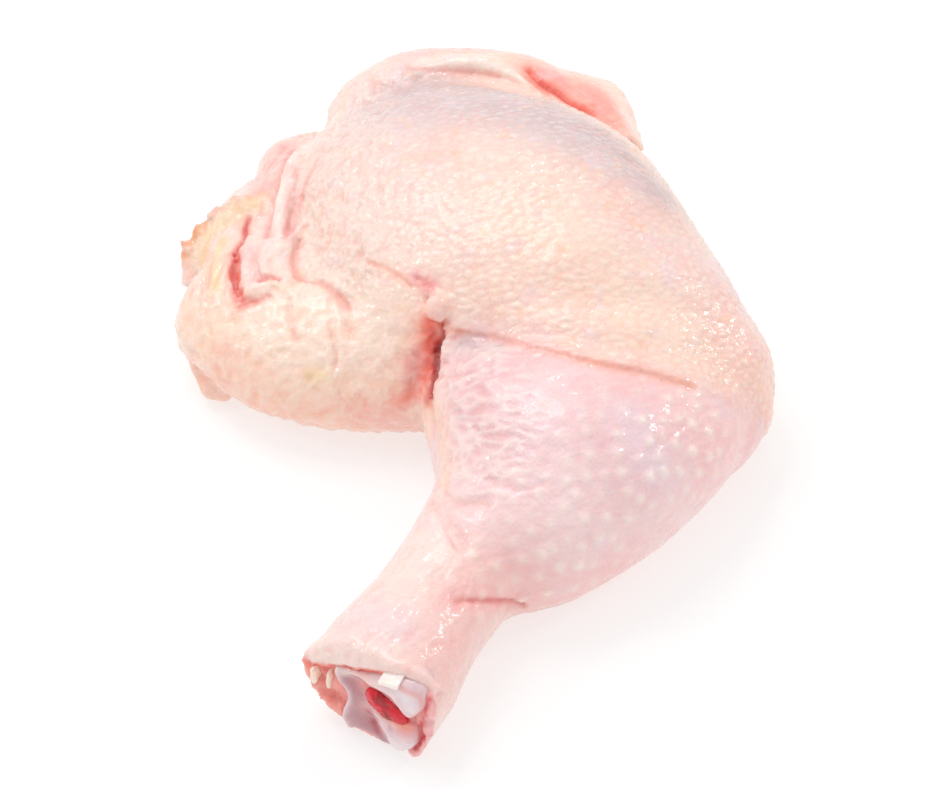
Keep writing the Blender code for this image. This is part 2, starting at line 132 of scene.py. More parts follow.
# A flap of loose skin: rows of places from its root in the flesh to its free edge.
FLAP_THICKNESS = 2.2
COLLAR_FLAP = [
    [(6, 74, 24), (17, 68, 26), (27, 60, 26), (32, 50, 25)],
    [(8, 80, 27), (21, 75, 28), (31, 67, 27), (37, 55, 27)],
    [(13, 84, 26), (26, 79, 23), (34.5, 79, 21.5), (39, 69, 20), (40.5, 57, 20)],
]
UNDER_FLAP = [
    [(-52, 12, 8), (-51, 4, 7), (-48, -2, 6)],
    [(-60, 9, 8), (-57, 2, 6), (-52, -3, 4.5)],
    [(-65, 9, 8.5), (-63, 2, 6), (-60, -3.5, 3), (-54, -4, 2.5)],
]

# A crease: depth, half width, and its places along the skin.
CREASES = [
    (1.8, 1.5, [(-7.4, -8, 34), (-7.4, -11.2, 29.8), (-7.7, -17.4, 25.4), (-7.7, -27.6, 20.2)]),
    (0.45, 1.2, [(-38, 23.5, 27), (-39, 15.5, 28), (-38, 10.7, 28.6), (-31.7, 6, 29.5),
        (-26, -1.4, 29.5)]),
    (0.6, 1, [(-49.5, 4, 25.5), (-45, 4.5, 26.5), (-41, 4.5, 27.5)]),
    (0.7, 1.6, [(-12, 67, 34), (2.3, 66.9, 34.4), (13.7, 56, 40)]),
    (2.4, 1.8, [(13, 67, 33), (21, 61, 34), (28, 54, 33)]),
    (1, 1.6, [(-5.6, -46.9, 24), (-1.9, -52.5, 27), (2.9, -53.9, 29)]),
    (1.2, 1.6, [(-6, -49.7, 24), (-3.9, -57, 26), (-1.8, -61.9, 25.8)]),
    (1.1, 1.2, [(-3.6, -73.5, 21.4), (1.6, -70.8, 18.9), (6.8, -66.9, 14.2), (10.4, -65, 10)]),
    (1.5, 1.6, [(-61, 8, 10), (-57, 0, 9), (-52, -5, 8)]),
]

# The thigh's skin steps down onto the drumstick along this line, from the fold to the knee.
FOLD_LINE = [
    (-6.5, -9.5, 32.7), (3, -12.2, 34.2), (13.3, -19.1, 37.9), (26, -24.3, 39.1),
    (37.8, -25.5, 36.9), (46.4, -25.6, 33.4),
]
FOLD_LIP = 0.9
FOLD_LIP_REACH = 9
FOLD_DIP = 0.5
FOLD_DIP_REACH = 3
FOLD_SOFTNESS = 0.5

# The open slit beside the hip: its line and its half width at the skin.
SLIT = [
    (-52.1, 20.6, 26, 0.5), (-52.5, 17.6, 26, 1.3), (-52.6, 14.6, 26, 1.6),
    (-52.2, 10.6, 25.5, 1.1), (-50.2, 5.2, 25.5, 0.4),
]
SLIT_DEPTH = 2.4
SLIT_LIFT = 3
SLIT_TOP_SPREAD = 1.6
SLIT_FOOT_SPREAD = 0.25

# The hock is cut across; places near it are given as side, height and how far out of the leg.
# The cut leans: it reaches further out towards the underside.
HOCK = Vector((-20, -88, 0))
HOCK_OUT = Vector((-0.515, -0.857, 0))
HOCK_SIDE = Vector((0.857, -0.515, 0))
SHANK_TOP = 25
CUT_LEAN = 0.12

# Round pieces that run through the flesh: x, y, z and radius from the hock inwards.
SHAFT = [
    (-14.5, -86, 13.8, 6.5), (-10, -79, 14, 5.2), (-3, -68, 14.8, 4.3), (12, -45, 16.5, 4.1),
    (26, -23, 18, 4.6), (33, -12, 18.8, 6), (37, -6, 19, 7),
]
MARROW_RADIUS = 2.1
MARROW_START = -1
# The bone's end is as wide and high as the leg there: side and height round its edge, and how
# far out of the cut and how large the edge is from the neck of the bone to its face.
HEAD_EDGE = [
    (-7.2, 17.3), (-4.6, 17.6), (-1, 19), (3.8, 21.3), (8.5, 23), (12, 23.2), (13.7, 21.5),
    (13.6, 17.6), (12.2, 14.6), (11.8, 13), (13, 9.6), (12.8, 6), (10.6, 2.4), (7.4, 0.8), (3, 0.7),
    (-0.4, 0.8), (-3.2, 1.2), (-4.7, 3.6), (-4.5, 7), (-4.1, 10), (-5.2, 12.6), (-6.9, 15),
]
HEAD_MIDDLE = (3.4, 12)
SOCKET_RINGS = [(-2.5, 0.9), (6, 0.9)]
HEAD_RINGS = [(-11, 0.45), (-8, 0.7), (-4.5, 0.92), (-1.5, 1), (0.5, 1), (1.3, 0.95), (1.6, 0.86)]
# Its carving: how far a place is pushed out, how wide, and the carving's line by side and
# height.
HEAD_CARVING = [
    (-1.8, 3.4, [(-2.4, 15), (-1, 11), (-0.2, 7), (1, 4.4)]),
    (0.9, 1, [(-6.6, 16.6), (-5, 12.6), (-3.9, 9.5), (-4.1, 5), (-3, 2)]),
    (0.7, 1.1, [(-3.5, 17.9), (0, 18.6), (3.5, 18.6), (7.5, 18.2), (10.5, 15)]),
    (-1, 2.8, [(3, 14.6), (5.4, 13.4), (8, 12.6)]),
    (0.7, 2.6, [(10.6, 19.4), (11.4, 18)]),
    (1, 2.8, [(8.8, 6.2), (10.2, 7)]),
    (0.8, 1.2, [(3.4, 10), (6, 9.7), (8, 10.4)]),
    (-1, 0.7, [(7.4, 10.9), (9.6, 11.6), (12, 12.6)]),
    (-0.9, 0.6, [(7.2, 11), (7, 8)]),
    (-0.7, 1.3, [(1.6, 5.6), (4.2, 4.2)]),
    (-0.8, 1, [(5, 2.6), (7, 1.6)]),
]
MARROW_MIDDLE = (5.2, 13, 0.9)
MARROW_HALF = (5.1, 3, 1.3)
MARROW_TILT = -0.22
# Tendons: side, height and out at their cut ends and inner ends, half width and half height.
TENDONS = {
    "tendon_outer": [(-12.2, 10.8, 1), (-10.6, 11.6, -9), (-8.6, 12.4, -20), 1, 2.9],
    "tendon_inner": [(-8.8, 11.6, 0.9), (-7.8, 13.4, -9), (-6.6, 14.4, -18), 0.6, 2.9],
}
TAB_MIDDLE = (6.1, 22.3, 0.9)
TAB_HALF = (2.3, 0.6, 1.7)
TAB_LEAN = 0.3
TAB_TILT = 0.3

# The lower edge of the skin over the cut flesh: side and height.
SKIN_LIP = [
    (-14.5, 13.6), (-12.5, 14.4), (-10.5, 15.8), (-6, 18.5), (-1, 20.8), (3.5, 22.6), (9, 23.5),
    (13, 22.4), (16, 21),
]

# Rolls of flesh and skin at the cut hock: side, height, out and radius.
HOCK_ROLLS = [
    [(-13.2, 15.2, -1.4, 2), (-9.5, 17.8, -1.2, 2.3), (-5, 20.2, -1.2, 2.4), (0, 22.2, -1.2, 2.4),
     (5, 23.6, -1.4, 2.2), (10, 23.8, -1.8, 2), (13.2, 22, -2.6, 1.8), (14.2, 18.5, -4.5, 1.6),
     (13.5, 14, -7, 1.2)],
    [(-13.6, 13.5, 0, 0.6), (-10.5, 15.5, 0.2, 0.9), (-6, 18.3, 0.2, 0.8), (-1, 20.6, 0.2, 0.9),
     (3.5, 22.6, 0.2, 0.8)],
    [(-13.6, 9.5, -0.2, 1), (-11, 7.3, 0, 1.3), (-8, 5.6, 0.1, 1.5), (-5.6, 3.6, 0, 1.2)],
    [(-10.3, 12.4, -0.5, 0.9), (-10, 9.5, 0, 1.1), (-8.4, 7.5, 0, 1)],
    [(-7, 14, -0.4, 0.8), (-6.2, 11, 0.1, 0.9), (-6, 8, 0.1, 1), (-6, 5.5, 0, 1)],
    [(14.6, 21, -0.6, 1.2), (15, 18, -0.3, 1.3), (14.8, 15, 0, 1.6), (14.8, 12.2, 0, 1.6)],
    [(14.9, 11, 0.1, 1.5), (14.2, 7.6, 0.2, 1.8), (13.4, 4.4, 0, 1.7), (11.8, 2, 0, 1.3)],
]

# Where the collar's skin is drawn smooth: its pale band and the flap that it turns into.
COLLAR_BAND = [(-16, 74, 34), (-6, 73, 35), (2, 73, 35), (12, 70, 34)]
COLLAR_TURN = [(14, 74, 32), (23, 70, 30), (32, 66, 27), (35, 60, 27)]

# Small lumps of loose fat: x, y, z, how far they spread, how many, and their usual radius.
CRUMBS = [
    (-53.5, 37, 25, 2.6, 18, 0.62),
    (-57.6, 35.6, 22, 2.6, 20, 0.62),
    (-61.4, 33.6, 19, 2.6, 22, 0.62),
    (-64.4, 30, 16, 2.4, 18, 0.65),
]

# Lines that have both relief and colour.
UNDER_FOLD = [
    (-5, -9.5, 33.5), (3, -12.2, 34.2), (13.3, -19.1, 37.9), (26, -24.3, 39.1), (37.8, -25.5, 36.9),
]
FOLD_CRACK = [(-7, -10.4, 30.6), (-7.2, -12.3, 27.6), (-7.6, -15.3, 25), (-8, -20, 23)]
NUB_WRINKLE = [(-21.8, 7, 36.5), (-18.7, 4.3, 37.4), (-15.6, 1.6, 37.8), (-12.9, -1, 37.8)]
SLIT_LINE = [
    (-50.3, 32, 24.8), (-50.8, 29, 25.2), (-51.6, 25, 26), (-52.4, 21.5, 26.2), (-52.6, 19.2, 26),
]
HIP_POCKET = [(-46.8, 9.4, 28), (-44.1, 9.6, 28.6), (-42.3, 8.8, 29)]
LEFT_OF_RIDGE = [
    (-42.1, 57, 22), (-43, 48, 25), (-44.6, 40, 26), (-45.4, 32, 25.2), (-45.6, 24, 26),
]
RIGHT_OF_RIDGE = [(-35.4, 44, 31), (-38.4, 37, 28.4), (-40.4, 30, 26), (-41, 22, 27)]
HIP_CREASE = [
    (-38, 22, 27), (-39.4, 16.6, 27.4), (-38.5, 11, 28), (-36.2, 8.6, 28.6), (-32.8, 7.6, 29),
    (-30.6, 5.6, 29), (-28, 3, 29), (-26, -0.6, 28.6),
]
SHANK_FOLD = [
    (-3.6, -73.5, 21.4), (-1, -72.2, 20.6), (1.6, -70.8, 18.9), (4.1, -69.1, 16.9),
    (6.8, -66.9, 14.2), (9.3, -65.2, 11.8), (11.4, -65.4, 9),
]
BAND_EDGE = [
    (-14.1, 71, 34.6), (-9.4, 69.8, 34.8), (-1.6, 69.2, 34.9), (6.3, 67.2, 35.3), (11, 65.3, 34.9),
]
COLLAR_CRACK = [
    (14.1, 71.2, 33.5), (17.1, 67.5, 32.2), (20.4, 65.4, 31.6), (24, 62.7, 30.9), (28.7, 61, 29.4),
]

# Fine lines in the skin: depth, half width and the path of each.
FINE_LINES = [
    (0.3, 0.5, UNDER_FOLD),
    (0.5, 0.5, NUB_WRINKLE),
    (0.6, 0.5, [(-11.4, -0.4, 39.2), (-10.6, -0.9, 39.2), (-10, -2, 39)]),
    (1.4, 0.6, [(-9.6, -4.4, 37.6), (-9.7, -6.6, 36.4), (-8.9, -8.5, 35), (-7, -9.4, 34),
        (-5, -9, 35)]),
    (-1.3, 1.9, [(-7.3, -6.9, 36.4), (-6.8, -6, 36.9)]),
    (1, 0.6, [(-7, -9.6, 32.6)] + FOLD_CRACK),
    (0.6, 0.6, [(-7.6, -13.2, 25.5), (-4.3, -16.1, 29.9), (-0.4, -18.5, 33.3)]),
    (0.6, 0.6, [(-7.1, -16.1, 24.6), (-3.8, -21.3, 31.3), (0, -22.8, 34.4)]),
    (0.6, 0.7, [(-39.5, 3.2, 28.3), (-39.4, -1.6, 27.1), (-37.9, -6.2, 25.7)]),
    (0.5, 0.7, [(-30.5, 2.7, 28.8), (-30.5, -3.9, 28.1), (-29.6, -8.7, 25.9)]),
    (0.6, 0.6, [(-29.3, -9.8, 25.2), (-29.1, -11.2, 24.2), (-29.6, -12.4, 22.9)]),
    (0.5, 0.8, [(-28.5, 2.8, 28.7), (-27.2, -3, 28.7), (-25.6, -7.5, 27.2)]),
    (0.5, 0.6, [(-28.3, -15.4, 19), (-27.9, -15.9, 18), (-26.8, -16.6, 16.4)]),
    (1.1, 0.45, SLIT_LINE),
    (1, 0.7, HIP_POCKET),
    (0.3, 0.8, [(-49.6, 5, 26), (-47, 4.6, 26), (-43.6, 5.4, 27)]),
    (0.8, 0.6, LEFT_OF_RIDGE),
    (0.35, 0.6, RIGHT_OF_RIDGE),
    (0.5, 0.55, HIP_CREASE),
    (0.8, 0.7, [(-58.3, 21, 24), (-58.6, 16, 24), (-58, 11, 23)]),
    (0.7, 0.7, [(-60.1, 23, 22.9), (-61.3, 20, 22.2), (-62.6, 17, 21.2)]),
    (0.6, 0.6, [(-48.6, 20, 26.6), (-47.4, 14, 27.6), (-46.8, 10, 28)]),
    (0.7, 0.6, SHANK_FOLD),
    (0.45, 0.6, [(-4.8, -47.2, 23.4), (-1.9, -51.5, 26), (3.7, -53.6, 28.4)]),
    (0.45, 0.6, [(-7.9, -47.6, 21.6), (-5.4, -55.7, 24.7), (-2.9, -61.8, 25)]),
    (0.5, 0.8, BAND_EDGE),
    (1.2, 0.8, COLLAR_CRACK),
]

# Where the drumstick's skin is wrinkled, and where white follicles stand out of it.
WRINKLED_FOLD = [(-4, -14, 29), (-2, -27, 31), (-1, -36, 29), (0, -44, 28)]
WRINKLED_FRONT = [(6, -20, 36), (8, -33, 37), (7, -48, 33)]
DOMED_CALF = [(11, -65, 18), (19, -62, 23), (28, -52, 31), (34, -45, 33), (44, -38, 32)]
DOMED_FOLD = [(-6, -34, 25), (-5, -44, 24)]

# The line between the thigh above it and the piece of back and the drumstick below it.
THIGH_EDGE = [
    (-70, 12), (-58, 8), (-46, 7), (-38, 14), (-31, 6.5), (-27, 0), (-8, -8.5), (3, -12),
    (13, -19), (26, -24.3), (38, -25.5), (46, -25.6), (60, -24),
]


def add_object(name, mesh):
    """An object that takes over a mesh in the making."""
    data = bpy.data.meshes.new(name)
    mesh.to_mesh(data)
    mesh.free()
    obj = bpy.data.objects.new(name, data)
    bpy.context.scene.collection.objects.link(obj)
    return obj


def add_rings(name, rings):
    """A closed shape through matching rings of places in metres, with flat ends."""
    mesh = bmesh.new()
    verts = [[mesh.verts.new(place) for place in ring] for ring in rings]
    for a, b in zip(verts, verts[1:]):
        for i in range(len(a)):
            j = (i + 1) % len(a)
            mesh.faces.new((a[i], a[j], b[j], b[i]))
    mesh.faces.new(verts[0][::-1])
    mesh.faces.new(verts[-1])
    bmesh.ops.recalc_face_normals(mesh, faces=mesh.faces)
    return add_object(name, mesh)


def at_hock(side, height, out=0):
    """A place near the hock, by its side, its height and how far it is out of the leg."""
    return HOCK + HOCK_SIDE * side + HOCK_OUT * out + Vector((0, 0, height))


def on_cut(side, height, out=0):
    """A place out of the hock's leaning cut."""
    return at_hock(side, height, out + (SHANK_TOP - height) * CUT_LEAN)


def catmull_rom(rows, steps):
    """Rows of numbers, taken smoothly through each given row."""
    rows = np.array(rows, float)
    padded = np.vstack([2 * rows[0] - rows[1], rows, 2 * rows[-1] - rows[-2]])
    smooth = []
    for a, b, c, d in zip(padded, padded[1:], padded[2:], padded[3:]):
        for t in np.arange(steps) / steps:
            square = 2 * a - 5 * b + 4 * c - d
            cubic = 3 * b - a - 3 * c + d
            smooth.append(0.5 * (2 * b + (c - a) * t + square * t**2 + cubic * t**3))
    smooth.append(rows[-1])
    return np.array(smooth)


def section(station, heading, scale, forward, sides):
    """One ring of a mass, across its line of travel."""
    x, y, height, left, right, rise, drop = station
    across = Vector((heading.y, -heading.x, 0))
    centre = Vector((x, y, height)) + heading * forward
    ring = []
    for i in range(sides):
        angle = 2 * math.pi * i / sides
        side, up = math.cos(angle), math.sin(angle)
        width = right if side > 0 else left
        lift = rise if up > 0 else drop
        raised = Vector((0, 0, up * lift * scale))
        ring.append((centre + across * side * width * scale + raised) * MM)
    return ring


def loft(name, stations, nose=0.8, sides=RING_SIDES, steps=STEPS_BETWEEN_STATIONS):
    """A closed mass through its stations, with rounded ends."""
    rows = catmull_rom(stations, steps)
    last = len(rows) - 1
    turns = [math.pi / 2 * k / CAP_RINGS for k in range(1, CAP_RINGS)]
    rings = []
    for i, row in enumerate(rows):
        step = rows[min(i + 1, last)] - rows[max(i - 1, 0)]
        heading = Vector((step[0], step[1], 0)).normalized()
        reach = nose * min(row[3], row[4], row[5])
        ring = [section(row, heading, 1, 0, sides)]
        cap = [(math.cos(t), reach * math.sin(t)) for t in turns]
        if i == 0:
            start = [section(row, heading, scale, -forward, sides) for scale, forward in cap[::-1]]
            ring = start + ring
        if i == last:
            ring += [section(row, heading, scale, forward, sides) for scale, forward in cap]
        rings += ring
    return add_rings(name, rings)


def roll(name, points):
    """A round rod or a roll of skin through points that hold a radius."""
    stations = [(x, y, z, r, r, r, r) for x, y, z, r in points]
    return loft(name, stations, nose=0.9, sides=ROD_SIDES, steps=4)


def flap(name, rows):
    """A sheet of skin through its rows, as thick as the skin and the fat under it."""
    columns = 4 * STEPS_BETWEEN_STATIONS
    lines = []
    for row in rows:
        fine = catmull_rom(row, STEPS_BETWEEN_STATIONS)
        along = range(len(fine))
        spots = np.linspace(0, len(fine) - 1, columns)
        lines.append([[np.interp(spot, along, values) for values in fine.T] for spot in spots])
    grid = catmull_rom(np.array(lines).reshape(len(rows), -1), STEPS_BETWEEN_STATIONS)
    mesh = bmesh.new()
    verts = [[mesh.verts.new(p * MM) for p in line.reshape(columns, 3)] for line in grid]
    for a, b in zip(verts, verts[1:]):
        for i in range(columns - 1):
            mesh.faces.new((a[i], a[i + 1], b[i + 1], b[i]))
    obj = add_object(name, mesh)
    solidify = obj.modifiers.new("thickness", "SOLIDIFY")
    solidify.thickness = FLAP_THICKNESS * MM
    solidify.offset = 0
    apply_modifiers(obj)
    return obj


def hock_cutter(name, shift):
    """Everything beyond the hock's leaning cut, moved out of the leg by shift."""
    loops = []
    for side in (-CUTTER_SIDE, CUTTER_SIDE):
        loops.append([
            at_hock(side, CUTTER_LOW, shift + (SHANK_TOP - CUTTER_LOW) * CUT_LEAN) * MM,
            at_hock(side, CUTTER_HIGH, shift + (SHANK_TOP - CUTTER_HIGH) * CUT_LEAN) * MM,
            at_hock(side, CUTTER_HIGH, CUTTER_REACH) * MM,
            at_hock(side, CUTTER_LOW, CUTTER_REACH) * MM,
        ])
    return add_rings(name, loops)


def apply_modifiers(obj):
    """Makes the mesh what its modifiers show."""
    graph = bpy.context.evaluated_depsgraph_get()
    made = bpy.data.meshes.new_from_object(obj.evaluated_get(graph))
    obj.modifiers.clear()
    obj.data = made


def join(name, objects):
    """One object from several, which go."""
    mesh = bmesh.new()
    for obj in objects:
        mesh.from_mesh(obj.data)
        bpy.data.objects.remove(obj)
    return add_object(name, mesh)


def cut(obj, cutter):
    """Takes the cutter's shape out of an object."""
    boolean = obj.modifiers.new("cut", "BOOLEAN")
    boolean.operation = "DIFFERENCE"
    boolean.object = cutter
    apply_modifiers(obj)
    bpy.data.objects.remove(cutter)


def fuse(obj, voxel, smoothing):
    """Overlapping masses become one skin, relaxed where they meet."""
    remesh = obj.modifiers.new("fuse", "REMESH")
    remesh.mode = "VOXEL"
    remesh.voxel_size = voxel * MM
    apply_modifiers(obj)
    relax(obj, smoothing)


def relax(obj, iterations, weight=None):
    """Smooths the skin, everywhere or as far as weight, a rule for places in mm, says."""
    smooth = obj.modifiers.new("relax", "SMOOTH")
    smooth.factor = 0.5
    smooth.iterations = iterations
    if weight:
        group = obj.vertex_groups.new(name="relaxed")
        for vertex in obj.data.vertices:
            group.add([vertex.index], weight(vertex.co / MM), "REPLACE")
        smooth.vertex_group = group.name
    apply_modifiers(obj)
    obj.vertex_groups.clear()


def near_lip(point):
    """1 where the skin ends over the cut hock, fading into the leg and over the flesh below."""
    side, height, out = hock_places(np.array([point]))
    above = height[0] - np.interp(side[0], *zip(*SKIN_LIP))
    return min(1, max(0, above + 1.2)) * min(1, max(0, 0.25 * (out[0] + 9)))


def near_knee(point):
    """From 0 over the thigh to 1 over the knee, where the masses run together smoothly."""
    return min(1, max(0, (point.x - KNEE_START) / (KNEE_FULL - KNEE_START)))


def displace(obj, rule):
    """Moves the skin along its normals by rule, from places in mm to heights in mm."""
    count = len(obj.data.vertices)
    places = np.empty(count * 3, np.float32)
    normals = np.empty(count * 3, np.float32)
    obj.data.vertices.foreach_get("co", places)
    obj.data.vertex_normals.foreach_get("vector", normals)
    places = places.reshape(-1, 3)
    heights = rule(places / MM)
    places += normals.reshape(-1, 3) * heights[:, None] * MM
    obj.data.vertices.foreach_set("co", places.ravel())
    obj.data.update()


def distance_to(path, places):
    """How far each place is from a path, and on which side of it, seen from above."""
    return distance_to_line(catmull_rom(path, STEPS_BETWEEN_STATIONS), places)


def distance_to_line(line, places):
    """The same, for a line of many short steps."""
    nearest = np.full(len(places), np.inf)
    side = np.zeros(len(places))
    for a, b in zip(line, line[1:]):
        along = b - a
        share = np.clip((places - a) @ along / (along @ along), 0, 1)
        away = places - a - share[:, None] * along
        distance = np.linalg.norm(away, axis=1)
        closer = distance < nearest
        nearest[closer] = distance[closer]
        turn = along[0] * away[:, 1] - along[1] * away[:, 0]
        side[closer] = np.sign(turn[closer])
    return nearest, side


def folds(places):
    """The step of the thigh's skin over the drumstick, and the creases."""
    distance, side = distance_to(FOLD_LINE, places)
    lip = FOLD_LIP * np.exp(-distance / FOLD_LIP_REACH)
    dip = FOLD_DIP * np.exp(-distance / FOLD_DIP_REACH)
    on_thigh = 0.5 + 0.5 * np.tanh(side * distance / FOLD_SOFTNESS)
    heights = lip * on_thigh - dip * (1 - on_thigh)
    for depth, half_width, path in CREASES:
        distance, _ = distance_to(path, places)
        heights -= depth * np.exp(-(distance / half_width) ** 2)
    return heights


def slit_cutter():
    """A wedge that follows the slit, widest above the skin and closed at its depth."""
    rows = catmull_rom(SLIT, STEPS_BETWEEN_STATIONS)
    rings = []
    for i, (x, y, z, half_width) in enumerate(rows):
        step = rows[min(i + 1, len(rows) - 1)] - rows[max(i - 1, 0)]
        across = Vector((step[1], -step[0], 0)).normalized() * half_width
        top = Vector((x, y, z + SLIT_LIFT))
        foot = Vector((x, y, z - SLIT_DEPTH))
        rings.append([
            (top + across * SLIT_TOP_SPREAD) * MM,
            (top - across * SLIT_TOP_SPREAD) * MM,
            (foot - across * SLIT_FOOT_SPREAD) * MM,
            (foot + across * SLIT_FOOT_SPREAD) * MM,
        ])
    return add_rings("slit", rings)


def speck(name, middle, radius):
    """A small rounded lump."""
    mesh = bmesh.new()
    bmesh.ops.create_icosphere(mesh, subdivisions=2, radius=radius * MM)
    bmesh.ops.translate(mesh, verts=mesh.verts, vec=Vector(middle) * MM)
    return add_object(name, mesh)


def crumbs():
    """Crumbly fat along the torn edges of the skin."""
    chance = np.random.default_rng(7)
    lumps = []
    for x, y, z, spread, count, radius in CRUMBS:
        for _ in range(count):
            away = chance.normal(0, 0.45, 3) * spread
            size = radius * chance.uniform(0.6, 1.5)
            lumps.append(speck("crumb", (x + away[0], y + away[1], z + away[2] * 0.7), size))
    return lumps


def make_skin():
    """The whole leg with its folds, cut across at the hock and flat where it rests."""
    masses = [loft("thigh", THIGH), loft("back", BACK), loft("hip", HIP), loft("rump", RUMP),
              loft("front", THIGH_FRONT)]
    body = join("skin", masses)
    fuse(body, MASS_VOXEL, MASS_SMOOTHING)
    body = join("skin", [body, loft("drumstick", DRUMSTICK), loft("knee", KNEE)])
    fuse(body, DRUM_VOXEL, 5)
    relax(body, KNEE_SMOOTHING, near_knee)
    rolls = [roll("roll", points) for points in ROLLS]
    flaps = [flap("flap", COLLAR_FLAP), flap("flap", UNDER_FLAP)]
    body = join("skin", [body] + rolls + flaps + crumbs())
    fuse(body, DETAIL_VOXEL, 4)
    displace(body, folds)
    cut(body, slit_cutter())
    cut(body, hock_cutter("end", 0))
    cut(body, head_shape("socket", SOCKET_RINGS))
    strips = []
    for strip in HOCK_ROLLS:
        path = [(*on_cut(side, height, out), radius) for side, height, out, radius in strip]
        strips.append(roll("strip", path))
    body = join("skin", [body] + strips)
    fuse(body, SKIN_VOXEL, 3)
    relax(body, LIP_SMOOTHING, near_lip)
    trim_at_floor(body)
    keep_largest(body)
    return body


def trim_at_floor(obj):
    """Cuts away what lies below the floor and closes the cut with flat faces."""
    mesh = bmesh.new()
    mesh.from_mesh(obj.data)
    everything = mesh.verts[:] + mesh.edges[:] + mesh.faces[:]
    floor = {"plane_co": (0, 0, 0), "plane_no": (0, 0, 1)}
    bmesh.ops.bisect_plane(mesh, geom=everything, clear_inner=True, **floor)
    rim = [edge for edge in mesh.edges if edge.is_boundary]
    bmesh.ops.holes_fill(mesh, edges=rim, sides=0)
    mesh.to_mesh(obj.data)
    mesh.free()


def keep_largest(obj):
    """Leaves only the largest of a piece's shells, without the hollows that fusing closed in."""
    mesh = bmesh.new()
    mesh.from_mesh(obj.data)
    waiting = set(mesh.verts)
    shells = []
    while waiting:
        shell = {waiting.pop()}
        edge = list(shell)
        while edge:
            reached = {link.other_vert(vert) for vert in edge for link in vert.link_edges} - shell
            shell |= reached
            edge = list(reached)
        waiting -= shell
        shells.append(shell)
    shells.sort(key=len)
    for shell in shells[:-1]:
        bmesh.ops.delete(mesh, geom=list(shell), context="VERTS")
    mesh.to_mesh(obj.data)
    mesh.free()


# Numbers that scatter the noise's slopes, one row for each axis.
NOISE_WAVES = [(127.1, 311.7, 74.7), (269.5, 183.3, 246.1), (113.5, 271.9, 124.6)]
NOISE_SPREAD = 43758.5453


def noise(places, size, seed):
    """Smooth noise of about -1 to 1, whose bumps are about size mm across."""
    spots = places / size + seed * 19.7
    corner = np.floor(spots)
    part = spots - corner
    fade = part**3 * (part * (part * 6 - 15) + 10)
    total = np.zeros(len(places))
    for step in np.ndindex(2, 2, 2):
        step = np.array(step)
        cell = corner + step
        weight = np.prod(np.where(step, fade, 1 - fade), axis=1)
        for axis, (p, q, r) in enumerate(NOISE_WAVES):
            turn = np.sin(cell[:, 0] * p + cell[:, 1] * q + cell[:, 2] * r) * NOISE_SPREAD
            total += weight * (2 * (turn - np.floor(turn)) - 1) * (part - step)[:, axis]
    return total * 1.5


def streaks(places, size, along, stretch, seed):
    """Noise drawn out along a direction, for wrinkles."""
    along = np.array(along, float) / np.linalg.norm(along)
    squeezed = places - (1 - 1 / stretch) * (places @ along)[:, None] * along
    return noise(squeezed, size, seed)


def nearest_two(seeds, places):
    """For each place the nearest seed, its distance, and the distance of the next nearest."""
    tree = KDTree(len(seeds))
    for i, seed in enumerate(seeds):
        tree.insert(seed, i)
    tree.balance()
    found = [tree.find_n(place, 2) for place in places]
    owner = np.array([pair[0][1] for pair in found])
    first = np.array([pair[0][2] for pair in found])
    second = np.array([pair[1][2] for pair in found])
    return owner, first, second


def cells(places, spacing, seed, rounds=2):
    """Even cells over the skin: each place's cell, how far its middle is, and 0 to 1 inwards."""
    chance = np.random.default_rng(seed)
    shuffled = places[chance.permutation(len(places))]
    _, picked = np.unique(np.floor(shuffled / spacing).astype(int), axis=0, return_index=True)
    seeds = shuffled[picked]
    sample = shuffled[::3]
    for _ in range(rounds):
        owner, _, _ = nearest_two(seeds, sample)
        counts = np.bincount(owner, minlength=len(seeds))
        sums = np.stack([np.bincount(owner, sample[:, axis], len(seeds)) for axis in range(3)], 1)
        used = counts > 0
        seeds = sums[used] / counts[used, None]
    owner, first, second = nearest_two(seeds, places)
    inside = (second - first) / (second + first)
    return owner, first, inside


def past(line, places, softness=2):
    """From 0 to 1: whether places lie on the +Y side of a line seen from above."""
    xs, ys = zip(*line)
    return 0.5 + 0.5 * np.tanh((places[:, 1] - np.interp(places[:, 0], xs, ys)) / softness)


def rising(values, start, full):
    """From 0 at start to 1 at full, eased."""
    share = np.clip((values - start) / (full - start), 0, 1)
    return share * share * (3 - 2 * share)


def near(path, reach, places):
    """1 on a path, fading away over reach mm."""
    return near_line(catmull_rom(path, STEPS_BETWEEN_STATIONS), reach, places)


def near_line(line, reach, places):
    """The same, for a line of many short steps."""
    room = 3 * reach
    close = np.all((places > line.min(axis=0) - room) & (places < line.max(axis=0) + room), axis=1)
    share = np.zeros(len(places))
    distance, _ = distance_to_line(line, places[close])
    share[close] = np.exp(-(distance / reach) ** 2)
    return share


